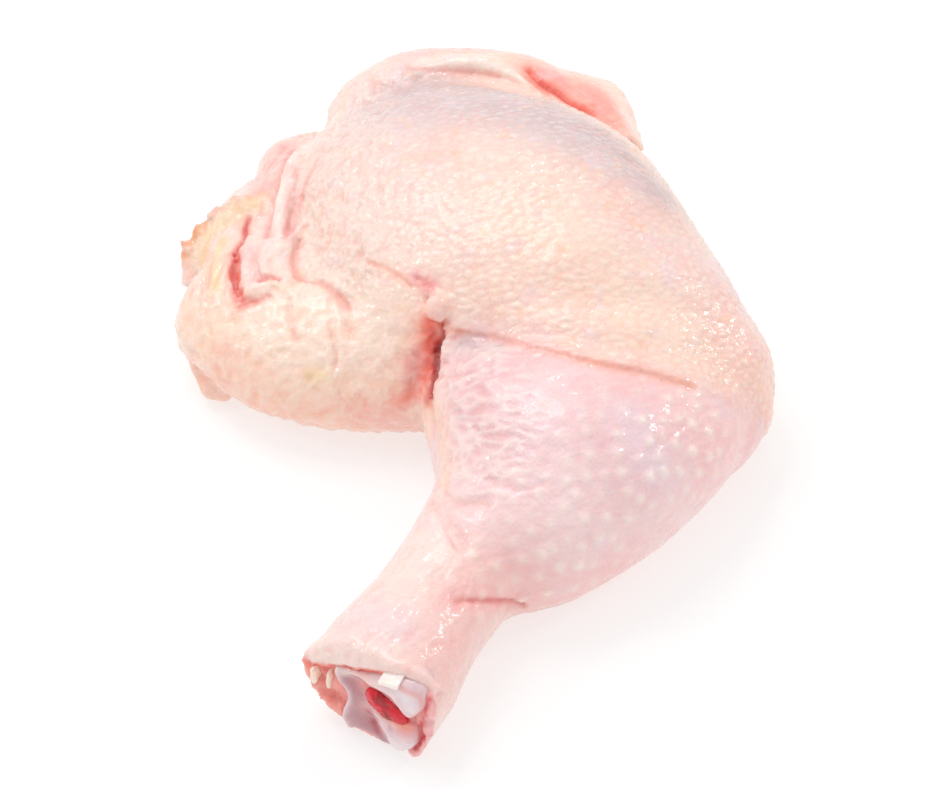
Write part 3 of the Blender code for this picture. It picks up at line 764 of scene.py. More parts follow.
class Surface:
    """A piece's skin before its fine relief, for laying lines and strokes exactly on it."""

    def __init__(self, obj):
        self.places = vertex_places(obj)
        normals = np.empty(len(obj.data.vertices) * 3, np.float32)
        obj.data.vertex_normals.foreach_get("vector", normals)
        side, height, out = hock_places(self.places)
        facing = rising(normals.reshape(-1, 3) @ np.array(HOCK_OUT), 0.2, 0.6)
        lip = np.interp(side, *zip(*SKIN_LIP))
        self.cut_face = facing * rising(out, -2.2, -1.2) * rising(lip - height, -0.4, 0.6)
        corners = [polygon.vertices[:] for polygon in obj.data.polygons]
        self.tree = BVHTree.FromPolygons([Vector(place) for place in self.places], corners)

    def settle(self, path):
        """The path, drawn smoothly and put down onto the nearest skin."""
        single = len(path) == 1
        line = np.array(path * 2, float) if single else catmull_rom(path, STEPS_BETWEEN_STATIONS)
        line = np.array([self.tree.find_nearest(Vector(place))[0] for place in line])
        if single:
            line[1] += 0.05
        return line

    def near(self, path, reach):
        """1 on a path over the skin, fading to 0 about two reaches away."""
        return near_line(self.settle(path), reach, self.places)


def regions(places):
    """How far each place belongs to the thigh, the hip, the back, the drumstick and the shank."""
    x, y, z = places.T
    thigh = past(THIGH_EDGE, places)
    hip = thigh * rising(-x, 36, 44)
    down_the_leg = (x - 18) * -0.5 + (y + 36) * -0.86
    shank = (1 - thigh) * rising(down_the_leg, 27, 37) * rising(x, -42, -38)
    beside = np.maximum(rising(x, -9, -6), rising(-y, 26, 32))
    drum = (1 - thigh) * (1 - shank) * beside
    back = (1 - thigh) * (1 - shank) * (1 - beside)
    return {"thigh": thigh * (1 - hip), "hip": hip, "back": back, "drum": drum, "shank": shank}


def ridged(rough):
    """Noise turned into crests and valleys, from -1 to 1."""
    return np.clip(1 - 3 * np.abs(rough), -1, 1)


def grain(surface):
    """The skin's fine relief in mm, its crests from -1 to 1, its white domes, and its hollows for
    painted shade.
    """
    places = surface.places
    x, y, z = places.T
    part = regions(places)
    bent = places + 0.9 * np.stack([noise(places, 4.5, seed) for seed in (1, 2, 3)], 1)
    owner, _, inside = cells(bent * np.array([0.6, 1, 1]), 2.2, 3)
    swell = np.random.default_rng(5).uniform(0.5, 1.2, owner.max() + 1)[owner]
    coarse = 2 * (1 - (1 - inside) ** 2) * swell - 1
    _, _, inside = cells(bent * np.array([0.8, 1, 1]), 2.1, 4)
    fine = (1 - 2 * (1 - inside) ** 2) * 0.5 + 0.8 * ridged(noise(bent, 4, 12))
    left = rising(-x, 6, 24)
    cobble = (1 - left) * coarse + left * fine
    patchy = 0.85 + 0.5 * noise(places, 8, 11)

    crest = part["thigh"] * cobble * patchy
    heights = (0.2 + 0.3 * left) * crest

    soft = ridged(streaks(bent, 3.4, (0.1, 1, -0.6), 3, 41))
    crest += part["back"] * (0.5 * soft + 0.4 * fine)
    heights += part["back"] * (0.28 * soft + 0.16 * fine)

    folded = ridged(streaks(bent, 2.6, (0.25, 1, 0.1), 3, 42))
    crest += part["hip"] * (0.5 * folded + 0.4 * fine)
    heights += part["hip"] * (0.25 * folded + 0.16 * fine)

    wrinkled = near(WRINKLED_FOLD, 9, places)
    wrinkled = np.clip(wrinkled + 0.7 * near(WRINKLED_FRONT, 7, places), 0, 1)
    wavy = ridged(streaks(bent, 2.1, (1, -0.3, 0.3), 2.6, 31)) + 0.5 * noise(bent, 2, 33)
    slack = ridged(streaks(places, 2.4, (1, 0.7, -0.3), 3, 32))
    crest += part["drum"] * (wrinkled * wavy + (1 - wrinkled) * 0.25 * slack)
    heights += part["drum"] * (0.42 * wrinkled * wavy + 0.1 * (1 - wrinkled) * slack)

    drawn = ridged(streaks(bent, 2.2, (0.5, 0.85, 0.1), 3, 44))
    crest += part["shank"] * 0.5 * drawn
    heights += part["shank"] * 0.16 * drawn
    smooth = np.clip(near(COLLAR_BAND, 6, places) + near(COLLAR_TURN, 8, places), 0, 1)
    heights *= 1 - 0.85 * smooth
    crest *= 1 - 0.7 * smooth
    heights += 0.1 * smooth * streaks(places, 3, (1, -0.2, 0), 3, 43)

    heights += 0.35 * part["thigh"] * streaks(places, 6, (1, 0.15, 0), 2, 21)
    heights += 0.3 * noise(places, 13, 22)
    heights += 0.14 * noise(places, 2.6, 23)

    speckled = near(DOMED_CALF, 13, places)
    speckled = np.clip(1.3 * speckled + 0.8 * near(DOMED_FOLD, 5, places), 0, 1)
    owner, away, _ = cells(places, 5.6, 6, rounds=1)
    full = np.random.default_rng(8).uniform(0.35, 1, owner.max() + 1)[owner]
    domes = speckled * full * np.exp(-(away / 1.15) ** 2) * (1 - part["thigh"])
    heights += 0.75 * domes

    torn = 0.4 * noise(places, 2.4, 24) + 0.25 * ridged(noise(places, 1.8, 25))
    heights = heights * (1 - surface.cut_face) + torn * surface.cut_face

    crease_shade = np.zeros(len(places))
    for depth, half_width, path in FINE_LINES:
        share = surface.near(path, half_width)
        heights -= depth * share
        crease_shade += depth * share
    for depth, half_width, path in CREASES:
        crease_shade += 0.5 * depth * surface.near(path, half_width)
    return heights, np.clip(crest, -1, 1), np.clip(domes, 0, 1), np.clip(crease_shade, 0, 1)


def above_floor(rule, places):
    """Fades a relief out towards the flat underside."""
    return rule * rising(places[:, 2], 0.2, 3)


def colour(red, green, blue):
    """A colour named as it shows on a screen, in the scene's own linear light."""
    shown = np.array([red, green, blue]) / 255
    return np.where(shown <= 0.04045, shown / 12.92, ((shown + 0.055) / 1.055) ** 2.4)


CREAM = colour(254, 224, 206)
PALE_PINK = colour(247, 217, 209)
WHITE_SKIN_AND_HIGHLIGHT = colour(252, 236, 226)
PEACH = colour(255, 210, 184)
# SALMON also serves as painted shade: in part under the fold's lip, and low on the lobe.
SALMON = colour(255, 182, 156)
ROSE = colour(250, 188, 184)
MAUVE_AND_SHADE = colour(234, 186, 192)
LILAC_AND_SHEEN = colour(238, 212, 220)
# The two greys below are laid as painted shade.
SHADE_GREY_BLUE = colour(216, 196, 198)
SHADE_COOL_GREY = colour(206, 182, 180)
COOL_WHITE = colour(255, 230, 232)
COOL_PINK = colour(250, 216, 215)
RED = colour(214, 84, 74)
DARK_RED_AND_SHADE = colour(150, 24, 30)
FAT = colour(250, 220, 168)
ORANGE = colour(232, 150, 92)
BRUISE = colour(176, 50, 66)
BONE_WHITE = colour(246, 226, 220)
GRISTLE = colour(226, 192, 196)
GRISTLE_GREY = colour(188, 134, 142)
GRISTLE_PALE = colour(240, 224, 228)
BLOOD = colour(222, 22, 44)
DARK_BLOOD = colour(165, 4, 24)
RAW_RED = colour(238, 108, 92)
FLAP_PINK = colour(252, 170, 158)
FLANK_RED = colour(244, 118, 98)
DEEP_MAUVE = colour(222, 136, 132)
RAW_PINK = colour(238, 156, 148)
FLESH_PINK = colour(250, 190, 190)
CUT_PINK = colour(250, 158, 146)
TENDON_CREAM = colour(255, 230, 214)
TAB_WHITE = colour(255, 240, 234)
SPOT_PINK = colour(240, 140, 150)

# How far out of the cut the bone's face is for its colours, and what is laid on it: colour,
# strength, reach, and side and height along its middle.
BONE_FACE = 1.2
BONE_STROKES = [
    (GRISTLE_GREY, 0.9, 3.2, [(-3.6, 14.8), (-1.4, 10.5), (-0.6, 6), (0.5, 2.5)]),
    (GRISTLE_PALE, 0.7, 0.9, [(-6.8, 16.8), (-5.2, 12.6), (-4, 9.5), (-4.3, 5), (-3.2, 2)]),
    (BONE_WHITE, 0.8, 1.5, [(-5, 17.2), (-1, 18.2), (3, 18.8), (7, 18.6)]),
    (GRISTLE_PALE, 0.9, 3.2, [(10, 20), (11.4, 17.4)]),
    (RAW_PINK, 0.6, 0.7, [(7.6, 21.6), (12.6, 21.4), (13.4, 17.6), (12, 14)]),
    (GRISTLE_PALE, 0.8, 3.2, [(8.4, 5), (10.6, 6.4)]),
    (BONE_WHITE, 0.5, 0.9, [(2.6, 10), (5, 9.7), (7, 9.8)]),
    (RAW_RED, 0.85, 3.1, [(0.4, 15), (5.4, 13.6), (9.6, 11.8)]),
    (SALMON, 0.6, 1, [(7.4, 9.8), (9, 10.2), (10.6, 10.8)]),
    (RED, 0.5, 0.5, [(7.3, 11), (9.6, 11.6), (12, 12.6)]),
    (GRISTLE_GREY, 0.7, 1.2, [(4.6, 2.4), (7, 1.4)]),
    (ROSE, 0.7, 2.4, [(0.4, 8), (2.6, 5.4)]),
    (BRUISE, 0.8, 1.2, [(0.6, 6.6), (2, 4.8), (3, 3.6)]),
]

# Colour laid on the skin: colour, strength, reach, and where its middle runs.
SKIN_STROKES = [
    (PALE_PINK, 0.8, 26, [(-28, 60, 30), (-22, 40, 38), (-15, 19, 44)]),
    (WHITE_SKIN_AND_HIGHLIGHT, 0.2, 10, [(-28, 68, 30), (-33, 64, 24)]),
    # Painted shade: grey-blue where the thigh's top turns away from the light.
    (SHADE_GREY_BLUE, 0.8, 13, [(-16, 54, 39), (-7, 48, 44), (7, 46, 46), (20, 38, 47), (31, 29, 47),
        (40, 22, 44)]),
    (LILAC_AND_SHEEN, 0.5, 12, [(37, 10, 46), (50, 5, 39), (59, 3, 29)]),
    (PEACH, 0.4, 6, [(32, 15, 48), (39, 14, 45), (46, 14, 41)]),
    (CREAM, 0.5, 14, [(15, 3, 47), (32, -8, 44), (45, -12, 39)]),
    (ROSE, 0.35, 12, [(59, -9, 32), (62, -15, 27), (59, -30, 15)]),
    (CREAM, 0.6, 5, [(0, -7, 39), (15, -13, 40), (32, -20, 39)]),
    # Salmon along and just under the fold's lip: partly the fold's own orange edge, partly painted
    # shade.
    (SALMON, 0.75, 1.4, FOLD_LINE),
    (SALMON, 0.7, 0.8, UNDER_FOLD[:-1]),
    (ORANGE, 0.4, 0.7, [(26, -24.3, 39.1), (37.8, -25.5, 36.9), (46.4, -25.6, 33.4)]),
    # Mauve over the drumstick: partly its own mauve-pink tone, partly painted shade.
    (MAUVE_AND_SHADE, 0.6, 18, [(8, -27, 36), (18, -40, 37), (30, -42, 36)]),
    (ROSE, 0.4, 10, [(36, -32, 37), (46, -35, 32), (52, -36, 26)]),
    (COOL_WHITE, 0.4, 8, [(14.5, -34.8, 39.5), (18.5, -45.7, 36.6), (20.4, -54.6, 31.3)]),
    # Painted sheen: pale lilac on the drumstick's right shoulder.
    (LILAC_AND_SHEEN, 0.7, 6, [(33, -38, 37), (36, -43, 35), (39, -46, 31)]),
    # Painted shade: grey-blue just under the fold's lip.
    (SHADE_GREY_BLUE, 0.7, 2.6, [(-1, -13.4, 32), (2, -15, 33), (6, -18, 35)]),
    (PEACH, 0.6, 3.5, [(-7, -17, 24), (-6, -29, 26), (-5, -38, 23), (-5, -44, 24)]),
    (ROSE, 0.6, 8, [(6, -66, 21), (12, -66, 15), (20, -64, 11), (30, -58, 12)]),
    (ROSE, 0.6, 8, [(0, -74, 20), (-4, -82, 21), (-6, -89, 20)]),
    (WHITE_SKIN_AND_HIGHLIGHT, 0.3, 7, [(-14, -66, 22), (-10, -60, 23), (-8, -54, 23)]),
    (LILAC_AND_SHEEN, 0.6, 5, [(-23, -77, 23), (-19, -79, 25), (-15, -81, 25)]),
    (CREAM, 0.6, 10, [(-40, 2, 28), (-30, 0, 29), (-20, -4, 29)]),
    (PEACH, 0.5, 5, [(-56.4, 0.6, 21.3), (-50.5, -6.9, 19.9), (-46, -10.5, 19), (-37, -15, 16)]),
    # Painted shade: salmon low on the lobe's front.
    (SALMON, 0.45, 6, [(-56, -6, 14), (-51, -10, 12), (-42, -14, 12), (-31, -17, 13),
        (-23, -17, 14)]),
    (ROSE, 0.6, 5, [(-22, -17, 15), (-18.6, -18, 13), (-14.5, -17, 10)]),
    (PEACH, 0.4, 5, [(-24, -15, 18), (-18, -15, 20)]),
    (SALMON, 0.7, 2, [(-56.6, -2, 19), (-54, -4, 20), (-52, -6, 20)]),
    (FAT, 0.6, 1.8, [(-35, -12.6, 21.5), (-32, -13, 21.7)]),
    (SALMON, 0.8, 3.6, [(-9.6, -9, 33), (-10, -10.6, 29), (-10.6, -13, 26), (-11.6, -15.6, 22.6)]),
    (DEEP_MAUVE, 0.8, 3, [(-11, -11.8, 26.5), (-11.8, -13.6, 24), (-12.4, -15.4, 21.6)]),
    (FLANK_RED, 0.9, 2.1, [(-8.6, -8.9, 34.2), (-8.6, -9.4, 31), (-8.8, -11, 28), (-9, -13, 25.6),
        (-9.4, -15.4, 23.2)]),
    (FLANK_RED, 0.7, 2, [(-15.3, -16.8, 17.4), (-13.1, -16.5, 18.3), (-10.4, -16.8, 20.7)]),
    # Red and dark red down the crack between lobe and drumstick: partly its red flesh, partly
    # painted shade.
    (RED, 0.9, 1.8, [(-6.6, -10, 31), (-6.9, -12, 28), (-7.2, -15, 24.6), (-7.6, -20, 21.6)]),
    (RED, 0.9, 0.8, [(-9.6, -8.8, 34.4), (-7.8, -9.8, 33.4), (-7.2, -10.2, 31), (-7.4, -12.3, 27.6),
        (-8, -15.3, 25)]),
    (DARK_RED_AND_SHADE, 0.8, 0.6, [(-6.6, -9.6, 33.2)] + FOLD_CRACK),
    (SPOT_PINK, 0.7, 1.9, [(-11.6, 0, 39), (-10, -1.4, 39), (-8.6, -2.4, 39)]),
    (SALMON, 0.6, 1, NUB_WRINKLE),
    (RAW_PINK, 0.55, 0.9, HIP_CREASE),
    (RAW_PINK, 0.8, 0.9, HIP_POCKET),
    (RAW_PINK, 0.55, 1.3, RIGHT_OF_RIDGE),
    (RAW_PINK, 0.6, 1.4, LEFT_OF_RIDGE),
    (WHITE_SKIN_AND_HIGHLIGHT, 0.8, 1.5, [(-37.8, 51.7, 26.4), (-42, 40, 27), (-43.2, 31.4, 26.5),
        (-43, 20, 28.3)]),
    (RAW_PINK, 0.55, 4, [(-47.5, 42, 24), (-46.5, 49, 22), (-44, 58, 20)]),
    (ROSE, 0.6, 1.6, [(-40.2, 44, 28), (-41, 36, 27), (-41.2, 28, 26.5), (-40.8, 22, 27)]),
    (ORANGE, 0.6, 1.1, [(-47.8, 39.5, 24.4), (-47.4, 38.8, 24.6)]),
    (FAT, 0.8, 2.4, [(-54, 33.7, 24.5), (-51.4, 34.7, 25), (-48.8, 36.7, 24.7)]),
    (ORANGE, 0.8, 1.8, [(-56, 36.6, 23.7), (-53.5, 38, 25.1), (-51.3, 38.6, 25.4)]),
    (ORANGE, 0.85, 2.4, [(-58, 37.4, 20), (-61, 34.4, 19), (-63.7, 31.7, 17.3), (-65.3, 28.8, 15)]),
    (FAT, 0.7, 3, [(-57, 32, 22), (-61, 29, 20), (-63, 24, 17)]),
    (FAT, 0.9, 2, [(-56.4, 25.5, 24), (-57, 19, 24.3), (-56.5, 10, 24.5)]),
    (PEACH, 0.6, 5, [(-60, 22, 22), (-61, 12, 20), (-60, 2, 18), (-56, 0, 21)]),
    (SALMON, 0.6, 2, [(-50.3, 32, 24.8), (-51, 27, 25.6), (-52.2, 21, 26), (-53, 15, 25),
        (-51, 7, 25)]),
    (RAW_RED, 1, 2, [(-52.3, 20, 21), (-52.6, 15.5, 21), (-51.8, 10, 22), (-50.2, 5, 24)]),
    (BLOOD, 0.8, 0.75, SLIT_LINE),
    (BLOOD, 0.6, 0.9, [(-51.7, 19.5, 22.5), (-51.6, 14.5, 22.4), (-50.6, 8.4, 23.6),
        (-49.9, 4.6, 25)]),
    (ROSE, 0.8, 3, [(-5, -74, 22), (-1, -72.2, 20.6), (4.1, -69.1, 16.9), (9.3, -65.2, 11.8)]),
    (RED, 0.6, 0.5, SHANK_FOLD[1:]),
    (ROSE, 0.6, 2, [(-49.4, 20, 26.4), (-48.4, 14, 27), (-48, 10.6, 27)]),
    (RAW_RED, 0.7, 0.9, [(-49.4, 5, 26), (-47, 4.5, 26), (-44.4, 5.2, 26.8)]),
    (ROSE, 0.5, 3, [(-16.6, 77.4, 32.5), (-9.4, 77, 34), (0, 78.8, 33), (12, 77, 31)]),
    (FLAP_PINK, 1, 6, [(16.4, 70, 33.1), (23.5, 68.9, 30.8), (30.6, 66.6, 28.2), (33, 60, 28)]),
    (CREAM, 0.6, 3, [(34, 77.5, 23.4), (35.7, 73.4, 23.4), (37, 67.5, 24), (38, 61.6, 25)]),
    (WHITE_SKIN_AND_HIGHLIGHT, 0.9, 1.7, [(-12, 72.4, 34.8), (-5.9, 71.8, 35.7), (-1.6, 71.4, 36),
        (2.3, 70.8, 36), (7, 69, 35.8), (11.7, 67, 34.9)]),
    (RAW_PINK, 0.5, 0.8, BAND_EDGE[:-1]),
    (FLANK_RED, 0.9, 1.5, COLLAR_CRACK),
    (RED, 0.6, 0.5, [(15, 69, 33)] + COLLAR_CRACK[1:]),
    # Painted shade: a darker grey band along the collar's lower edge, and grey-blue below it on the
    # thigh's shoulder.
    (SHADE_COOL_GREY, 0.75, 6, [(-11.6, 64, 34), (-2.3, 62, 36.5), (7, 56.6, 40), (16, 50.9, 42),
        (24.7, 43, 44), (31.3, 36.7, 44), (36.6, 30, 43), (41, 23, 42.5)]),
    (SHADE_GREY_BLUE, 0.75, 8, [(-16, 62, 34), (-7, 59, 38), (2, 53, 42), (11, 45, 46), (24, 38, 47)]),
    (FLANK_RED, 0.6, 0.8, [(24, 62.7, 30.9), (27, 63, 30.3), (29.5, 64, 29.6)]),
]

# Colour laid on the cut flesh at the hock: colour, strength, reach, and side and height.
HOCK_STROKES = [
    (RAW_RED, 0.8, 1.6, [(-13.6, 13), (-10.5, 14.8), (-6, 17.6), (-1, 19.8), (3, 21.4)]),
    (RED, 0.55, 1.6, [(-10.4, 13), (-10.2, 9), (-8, 7)]),
    (SALMON, 0.6, 1, [(-13.6, 11), (-11, 7.4)]),
    (RED, 0.5, 0.8, [(-6.6, 9), (-5.8, 7)]),
    (FLESH_PINK, 1, 2.6, [(14.6, 20), (15, 15), (15, 12), (14.2, 6), (12.4, 2)]),
    (BLOOD, 0.9, 0.7, [(14.2, 20.4), (13.8, 18.6), (14, 16)]),
    (RED, 0.8, 0.6, [(13.4, 14.4), (14.6, 12), (16, 10.6)]),
    (BLOOD, 0.9, 0.7, [(13.4, 12.4), (14, 9), (13.4, 6.4), (12.6, 3.6)]),
    (RED, 0.6, 0.5, [(14.4, 9), (15.4, 7)]),
]


def lay(strokes, colours, surface, out=None):
    """Lays strokes of colour along their paths, which run over the hock's cut if out is given."""
    for tone, strength, reach, path in strokes:
        if out is not None:
            path = [tuple(on_cut(*point, out)) for point in path]
        toward(colours, tone, strength * surface.near(path, reach))


def toward(colours, tone, share):
    """Shifts colours toward a tone by a share of the way."""
    colours += share[:, None] * (tone - colours)


def skin_colours(surface, crest, domes, crease_shade):
    """The skin's colour at each place, from regions, strokes, mottling, and painted light and shade
    on its crests.
    """
    places = surface.places
    x, y, z = places.T
    part = regions(places)
    colours = np.tile(PALE_PINK, (len(places), 1))
    for name, tone in [("thigh", CREAM), ("hip", PALE_PINK), ("back", CREAM), ("drum", COOL_PINK),
                       ("shank", PALE_PINK)]:
        toward(colours, tone, part[name])
    # Painted shade: salmon growing towards the underside.
    toward(colours, SALMON, 0.55 * rising(-z, -15, -1))
    lay(SKIN_STROKES, colours, surface)
    face = np.tile(CUT_PINK, (len(places), 1))
    lay(HOCK_STROKES, face, surface, 0)
    colours += surface.cut_face[:, None] * (face - colours)

    blush = np.clip(noise(places, 7, 51) + 0.6 * noise(places, 2.5, 52), 0, 1)
    toward(colours, colours * np.array([1, 0.84, 0.82]), 0.5 * blush)
    freckled = rising(noise(places, 4, 53) + 0.5 * noise(places, 1.5, 54), 0.35, 0.75)
    creamy = PEACH * np.array([1, 0.97, 0.86])
    toward(colours, creamy, 0.35 * freckled * (part["thigh"] + part["back"]))
    pale = rising(noise(places, 5, 57) + 0.4 * noise(places, 2, 58), 0.25, 0.8)
    toward(colours, LILAC_AND_SHEEN, 0.4 * pale * (part["thigh"] + part["drum"]))
    veins = rising(0.09 - np.abs(noise(places, 8, 55) + 0.3 * noise(places, 2, 56)), 0, 0.09)
    toward(colours, ROSE, 0.22 * veins)

    left = rising(-x, 6, 24)
    # Painted shade: valleys between the crests darker and pinker.
    valley_shade = (0.42 + 0.2 * left) * np.clip(-crest, 0, 1)
    toward(colours, colours * np.array([1, 0.78, 0.74]), valley_shade)
    # Crest tops drawn whiter: partly the skin's paler tops, partly painted highlight.
    toward(colours, WHITE_SKIN_AND_HIGHLIGHT, (0.25 + 0.25 * part["drum"] + 0.2 * left) * np.clip(crest, 0, 1))
    toward(colours, WHITE_SKIN_AND_HIGHLIGHT, 0.9 * domes)
    # Fine lines and creases darker and redder: partly their redder flesh, partly painted shade.
    toward(colours, colours * np.array([1.04, 0.72, 0.7]), 0.5 * crease_shade)
    return np.clip(colours, 0, 1)


def keep_colours(obj, colours):
    """Stores the colours where the piece's material reads them."""
    layer = obj.data.color_attributes.new("tone", "FLOAT_COLOR", "POINT")
    rows = np.ones((len(colours), 4), np.float32)
    rows[:, :3] = colours
    layer.data.foreach_set("color", rows.ravel())


def vertex_places(obj):
    """Where an object's vertices are, in mm."""
    places = np.empty(len(obj.data.vertices) * 3, np.float32)
    obj.data.vertices.foreach_get("co", places)
    return places.reshape(-1, 3).astype(float) / MM


def finish_skin(body):
    """Gives the skin its fine relief and its colours."""
    surface = Surface(body)
    heights, crest, domes, crease_shade = grain(surface)
    crest = np.where(surface.cut_face > 0.5, 0, crest)
    displace(body, lambda spots: above_floor(heights, spots))
    keep_colours(body, skin_colours(surface, crest, domes, crease_shade))


def closed_line(points, steps):
    """A smooth closed line through its points."""
    rows = catmull_rom(points[-2:] + points + points[:2], steps)
    return rows[2 * steps:-steps - 1]


def head_shape(name, sizes):
    """A piece with the bone end's outline, through rings that reach out of the cut by sizes."""
    edge = closed_line(HEAD_EDGE, 5)
    middle = np.array(HEAD_MIDDLE)
    rings = []
    for out, scale in sizes:
        rings.append([on_cut(*(middle + (point - middle) * scale), out) * MM for point in edge])
    return add_rings(name, rings)


def hock_places(places):
    """Side, height and out of the leaning cut, for places in mm."""
    away = places - np.array(HOCK)
    side = away @ np.array(HOCK_SIDE)
    height = away[:, 2]
    out = away @ np.array(HOCK_OUT) - (SHANK_TOP - height) * CUT_LEAN
    return side, height, out


def carve_head(bone):
    """Presses the dish, ridges and knobs into the bone's face."""
    places = vertex_places(bone)
    side, height, out = hock_places(places)
    flat = np.stack([side, height, np.zeros(len(side))], 1)
    push = np.zeros(len(side))
    for depth, reach, line in HEAD_CARVING:
        push += depth * near([(*point, 0) for point in line], reach, flat)
    push *= rising(out, -3, 0.5)
    moved = places + push[:, None] * np.array(HOCK_OUT)
    bone.data.vertices.foreach_set("co", (moved * MM).astype(np.float32).ravel())
    bone.data.update()


def make_bone():
    """The shin bone from the knee to its wide, gristle-covered end at the hock."""
    bone = join("bone", [roll("shaft", SHAFT), head_shape("head", HEAD_RINGS)])
    fuse(bone, BONE_VOXEL, 5)
    carve_head(bone)
    fuse(bone, BONE_VOXEL, 2)
    displace(bone, lambda places: 0.22 * noise(places, 4, 61) + 0.1 * noise(places, 1.6, 62))
    surface = Surface(bone)
    colours = np.tile(GRISTLE, (len(surface.places), 1))
    lay(BONE_STROKES, colours, surface, BONE_FACE)
    cloudy = np.clip(noise(surface.places, 3, 63) + 0.5 * noise(surface.places, 1, 64), -1, 1)
    colours *= 1 + 0.05 * cloudy[:, None]
    keep_colours(bone, np.clip(colours, 0, 1))
    return bone


def make_marrow():
    """The marrow inside the shaft and the ragged patch of it that shows in the bone's face."""
    side, height, out = MARROW_MIDDLE
    core = [(x, y, z, MARROW_RADIUS) for x, y, z, _ in SHAFT[:-1]]
    core = [(*on_cut(side, height, MARROW_START), MARROW_RADIUS)] + core
    mesh = bmesh.new()
    bmesh.ops.create_icosphere(mesh, subdivisions=4, radius=1)
    for vert in mesh.verts:
        across, up, deep = [axis * half for axis, half in zip(vert.co, MARROW_HALF)]
        vert.co = on_cut(side + across, height + up + MARROW_TILT * across, out + deep) * MM
    bmesh.ops.recalc_face_normals(mesh, faces=mesh.faces)
    marrow = join("marrow", [roll("core", core), add_object("patch", mesh)])
    fuse(marrow, MARROW_VOXEL, 2)

    def crumble(places):
        return 0.4 * noise(places, 2.4, 71) + 0.15 * ridged(noise(places, 1.6, 72))

    displace(marrow, crumble)
    places = vertex_places(marrow)
    colours = np.tile(BLOOD, (len(places), 1))
    toward(colours, DARK_BLOOD, np.clip(1.6 * noise(places, 2.6, 73) + 0.1, 0, 1))
    toward(colours, RED, 0.2 * np.clip(noise(places, 1.2, 74), 0, 1))
    keep_colours(marrow, colours)
    return marrow


def make_tendon(name):
    """A cut tendon: a flat strap with its strands."""
    *spots, half_width, half_height = TENDONS[name]
    places = [on_cut(*spot) for spot in spots]
    stations = [(*place, half_width, half_width, half_height, half_height) for place in places]
    tendon = loft(name, stations, nose=0.5, sides=ROD_SIDES, steps=6)
    fuse(tendon, TENDON_VOXEL, 4)
    strands = tuple(HOCK_OUT)

    def fray(places):
        return 0.3 * noise(places, 1.8, 80) + 0.16 * streaks(places, 0.8, strands, 6, 81)

    displace(tendon, fray)
    places = vertex_places(tendon)
    colours = np.tile(TENDON_CREAM, (len(places), 1))
    toward(colours, SALMON, 0.7 * np.clip(streaks(places, 0.9, strands, 6, 82), 0, 1))
    toward(colours, SALMON, 0.6 * np.clip(noise(places, 2.2, 83), 0, 1))
    keep_colours(tendon, colours)
    return tendon


def make_tab():
    """The square scrap of cartilage that lies on top of the bone's end."""
    side, height, out = TAB_MIDDLE
    wide, tall, deep = TAB_HALF
    loops = []
    for reach in (-deep, deep):
        corners = [(-wide, -tall), (wide, -tall), (wide, tall), (-wide, tall)]
        lean = height - TAB_LEAN * reach
        ring = [(side + x, lean + y + TAB_TILT * x) for x, y in corners]
        loops.append([on_cut(*corner, out + reach) * MM for corner in ring])
    tab = add_rings("tab", loops)
    fuse(tab, TAB_VOXEL, 6)
    displace(tab, lambda places: 0.12 * noise(places, 1.6, 91) + 0.05 * noise(places, 0.7, 93))
    places = vertex_places(tab)
    colours = np.tile(TAB_WHITE, (len(places), 1))
    toward(colours, PEACH, 0.2 * np.clip(noise(places, 1.5, 92), 0, 1))
    keep_colours(tab, colours)
    return tab


# Each slot's tissue: roughness, share and radius of the light that passes through it, height of
# its pores in mm, and its wet film. The pieces and their slots follow.
TISSUES = {
    "skin": (0.45, 0.25, (1.0, 0.4, 0.25), 0.12, 0.6),
    "gristle": (0.3, 0.3, (1.0, 0.6, 0.5), 0.05, 0.6),
    "marrow": (0.3, 0.1, (1.0, 0.2, 0.1), 0.08, 0.25),
    "tendon": (0.35, 0.3, (1.0, 0.6, 0.4), 0.06, 0.4),
}
SLOTS = {
    "leg_flesh": "skin",
    "shin_bone": "gristle",
    "bone_marrow": "marrow",
    "cartilage_tab": "tendon",
    "tendon_outer": "tendon",
    "tendon_inner": "tendon",
}
ROUGHNESS_SWING = 0.12
FILM_HEIGHT = 0.1
FILM_ROUGHNESS = 0.1
SUBSURFACE_SCALE = 0.0015
TISSUE_IOR = 1.42


class Graph:
    """A material's nodes, added and joined by name."""

    def __init__(self, name):
        self.material = bpy.data.materials.new(name)
        self.material.use_nodes = True
        self.nodes = self.material.node_tree.nodes
        self.links = self.material.node_tree.links
        self.shader = self.nodes["Principled BSDF"]

    def add(self, kind, **values):
        """A node whose values are its own settings or, by their names, its inputs."""
        node = self.nodes.new(kind)
        for key, value in values.items():
            if hasattr(node, key):
                setattr(node, key, value)
            else:
                node.inputs[key.replace("_", " ").title()].default_value = value
        return node

    def join(self, start, end):
        """Leads one socket into another."""
        self.links.new(start, end)

    def texture(self, kind, **values):
        """A texture node laid out in the piece's own space."""
        node = self.add(kind, **values)
        self.join(self.coordinates.outputs["Object"], node.inputs["Vector"])
        return node

    def raise_by(self, height, distance, normal):
        """Lets a height in the nodes bend one of the shader's normals, over a distance in mm."""
        bump = self.add("ShaderNodeBump", Strength=1.0, Distance=distance * MM)
        self.join(height, bump.inputs["Height"])
        self.join(bump.outputs["Normal"], self.shader.inputs[normal])


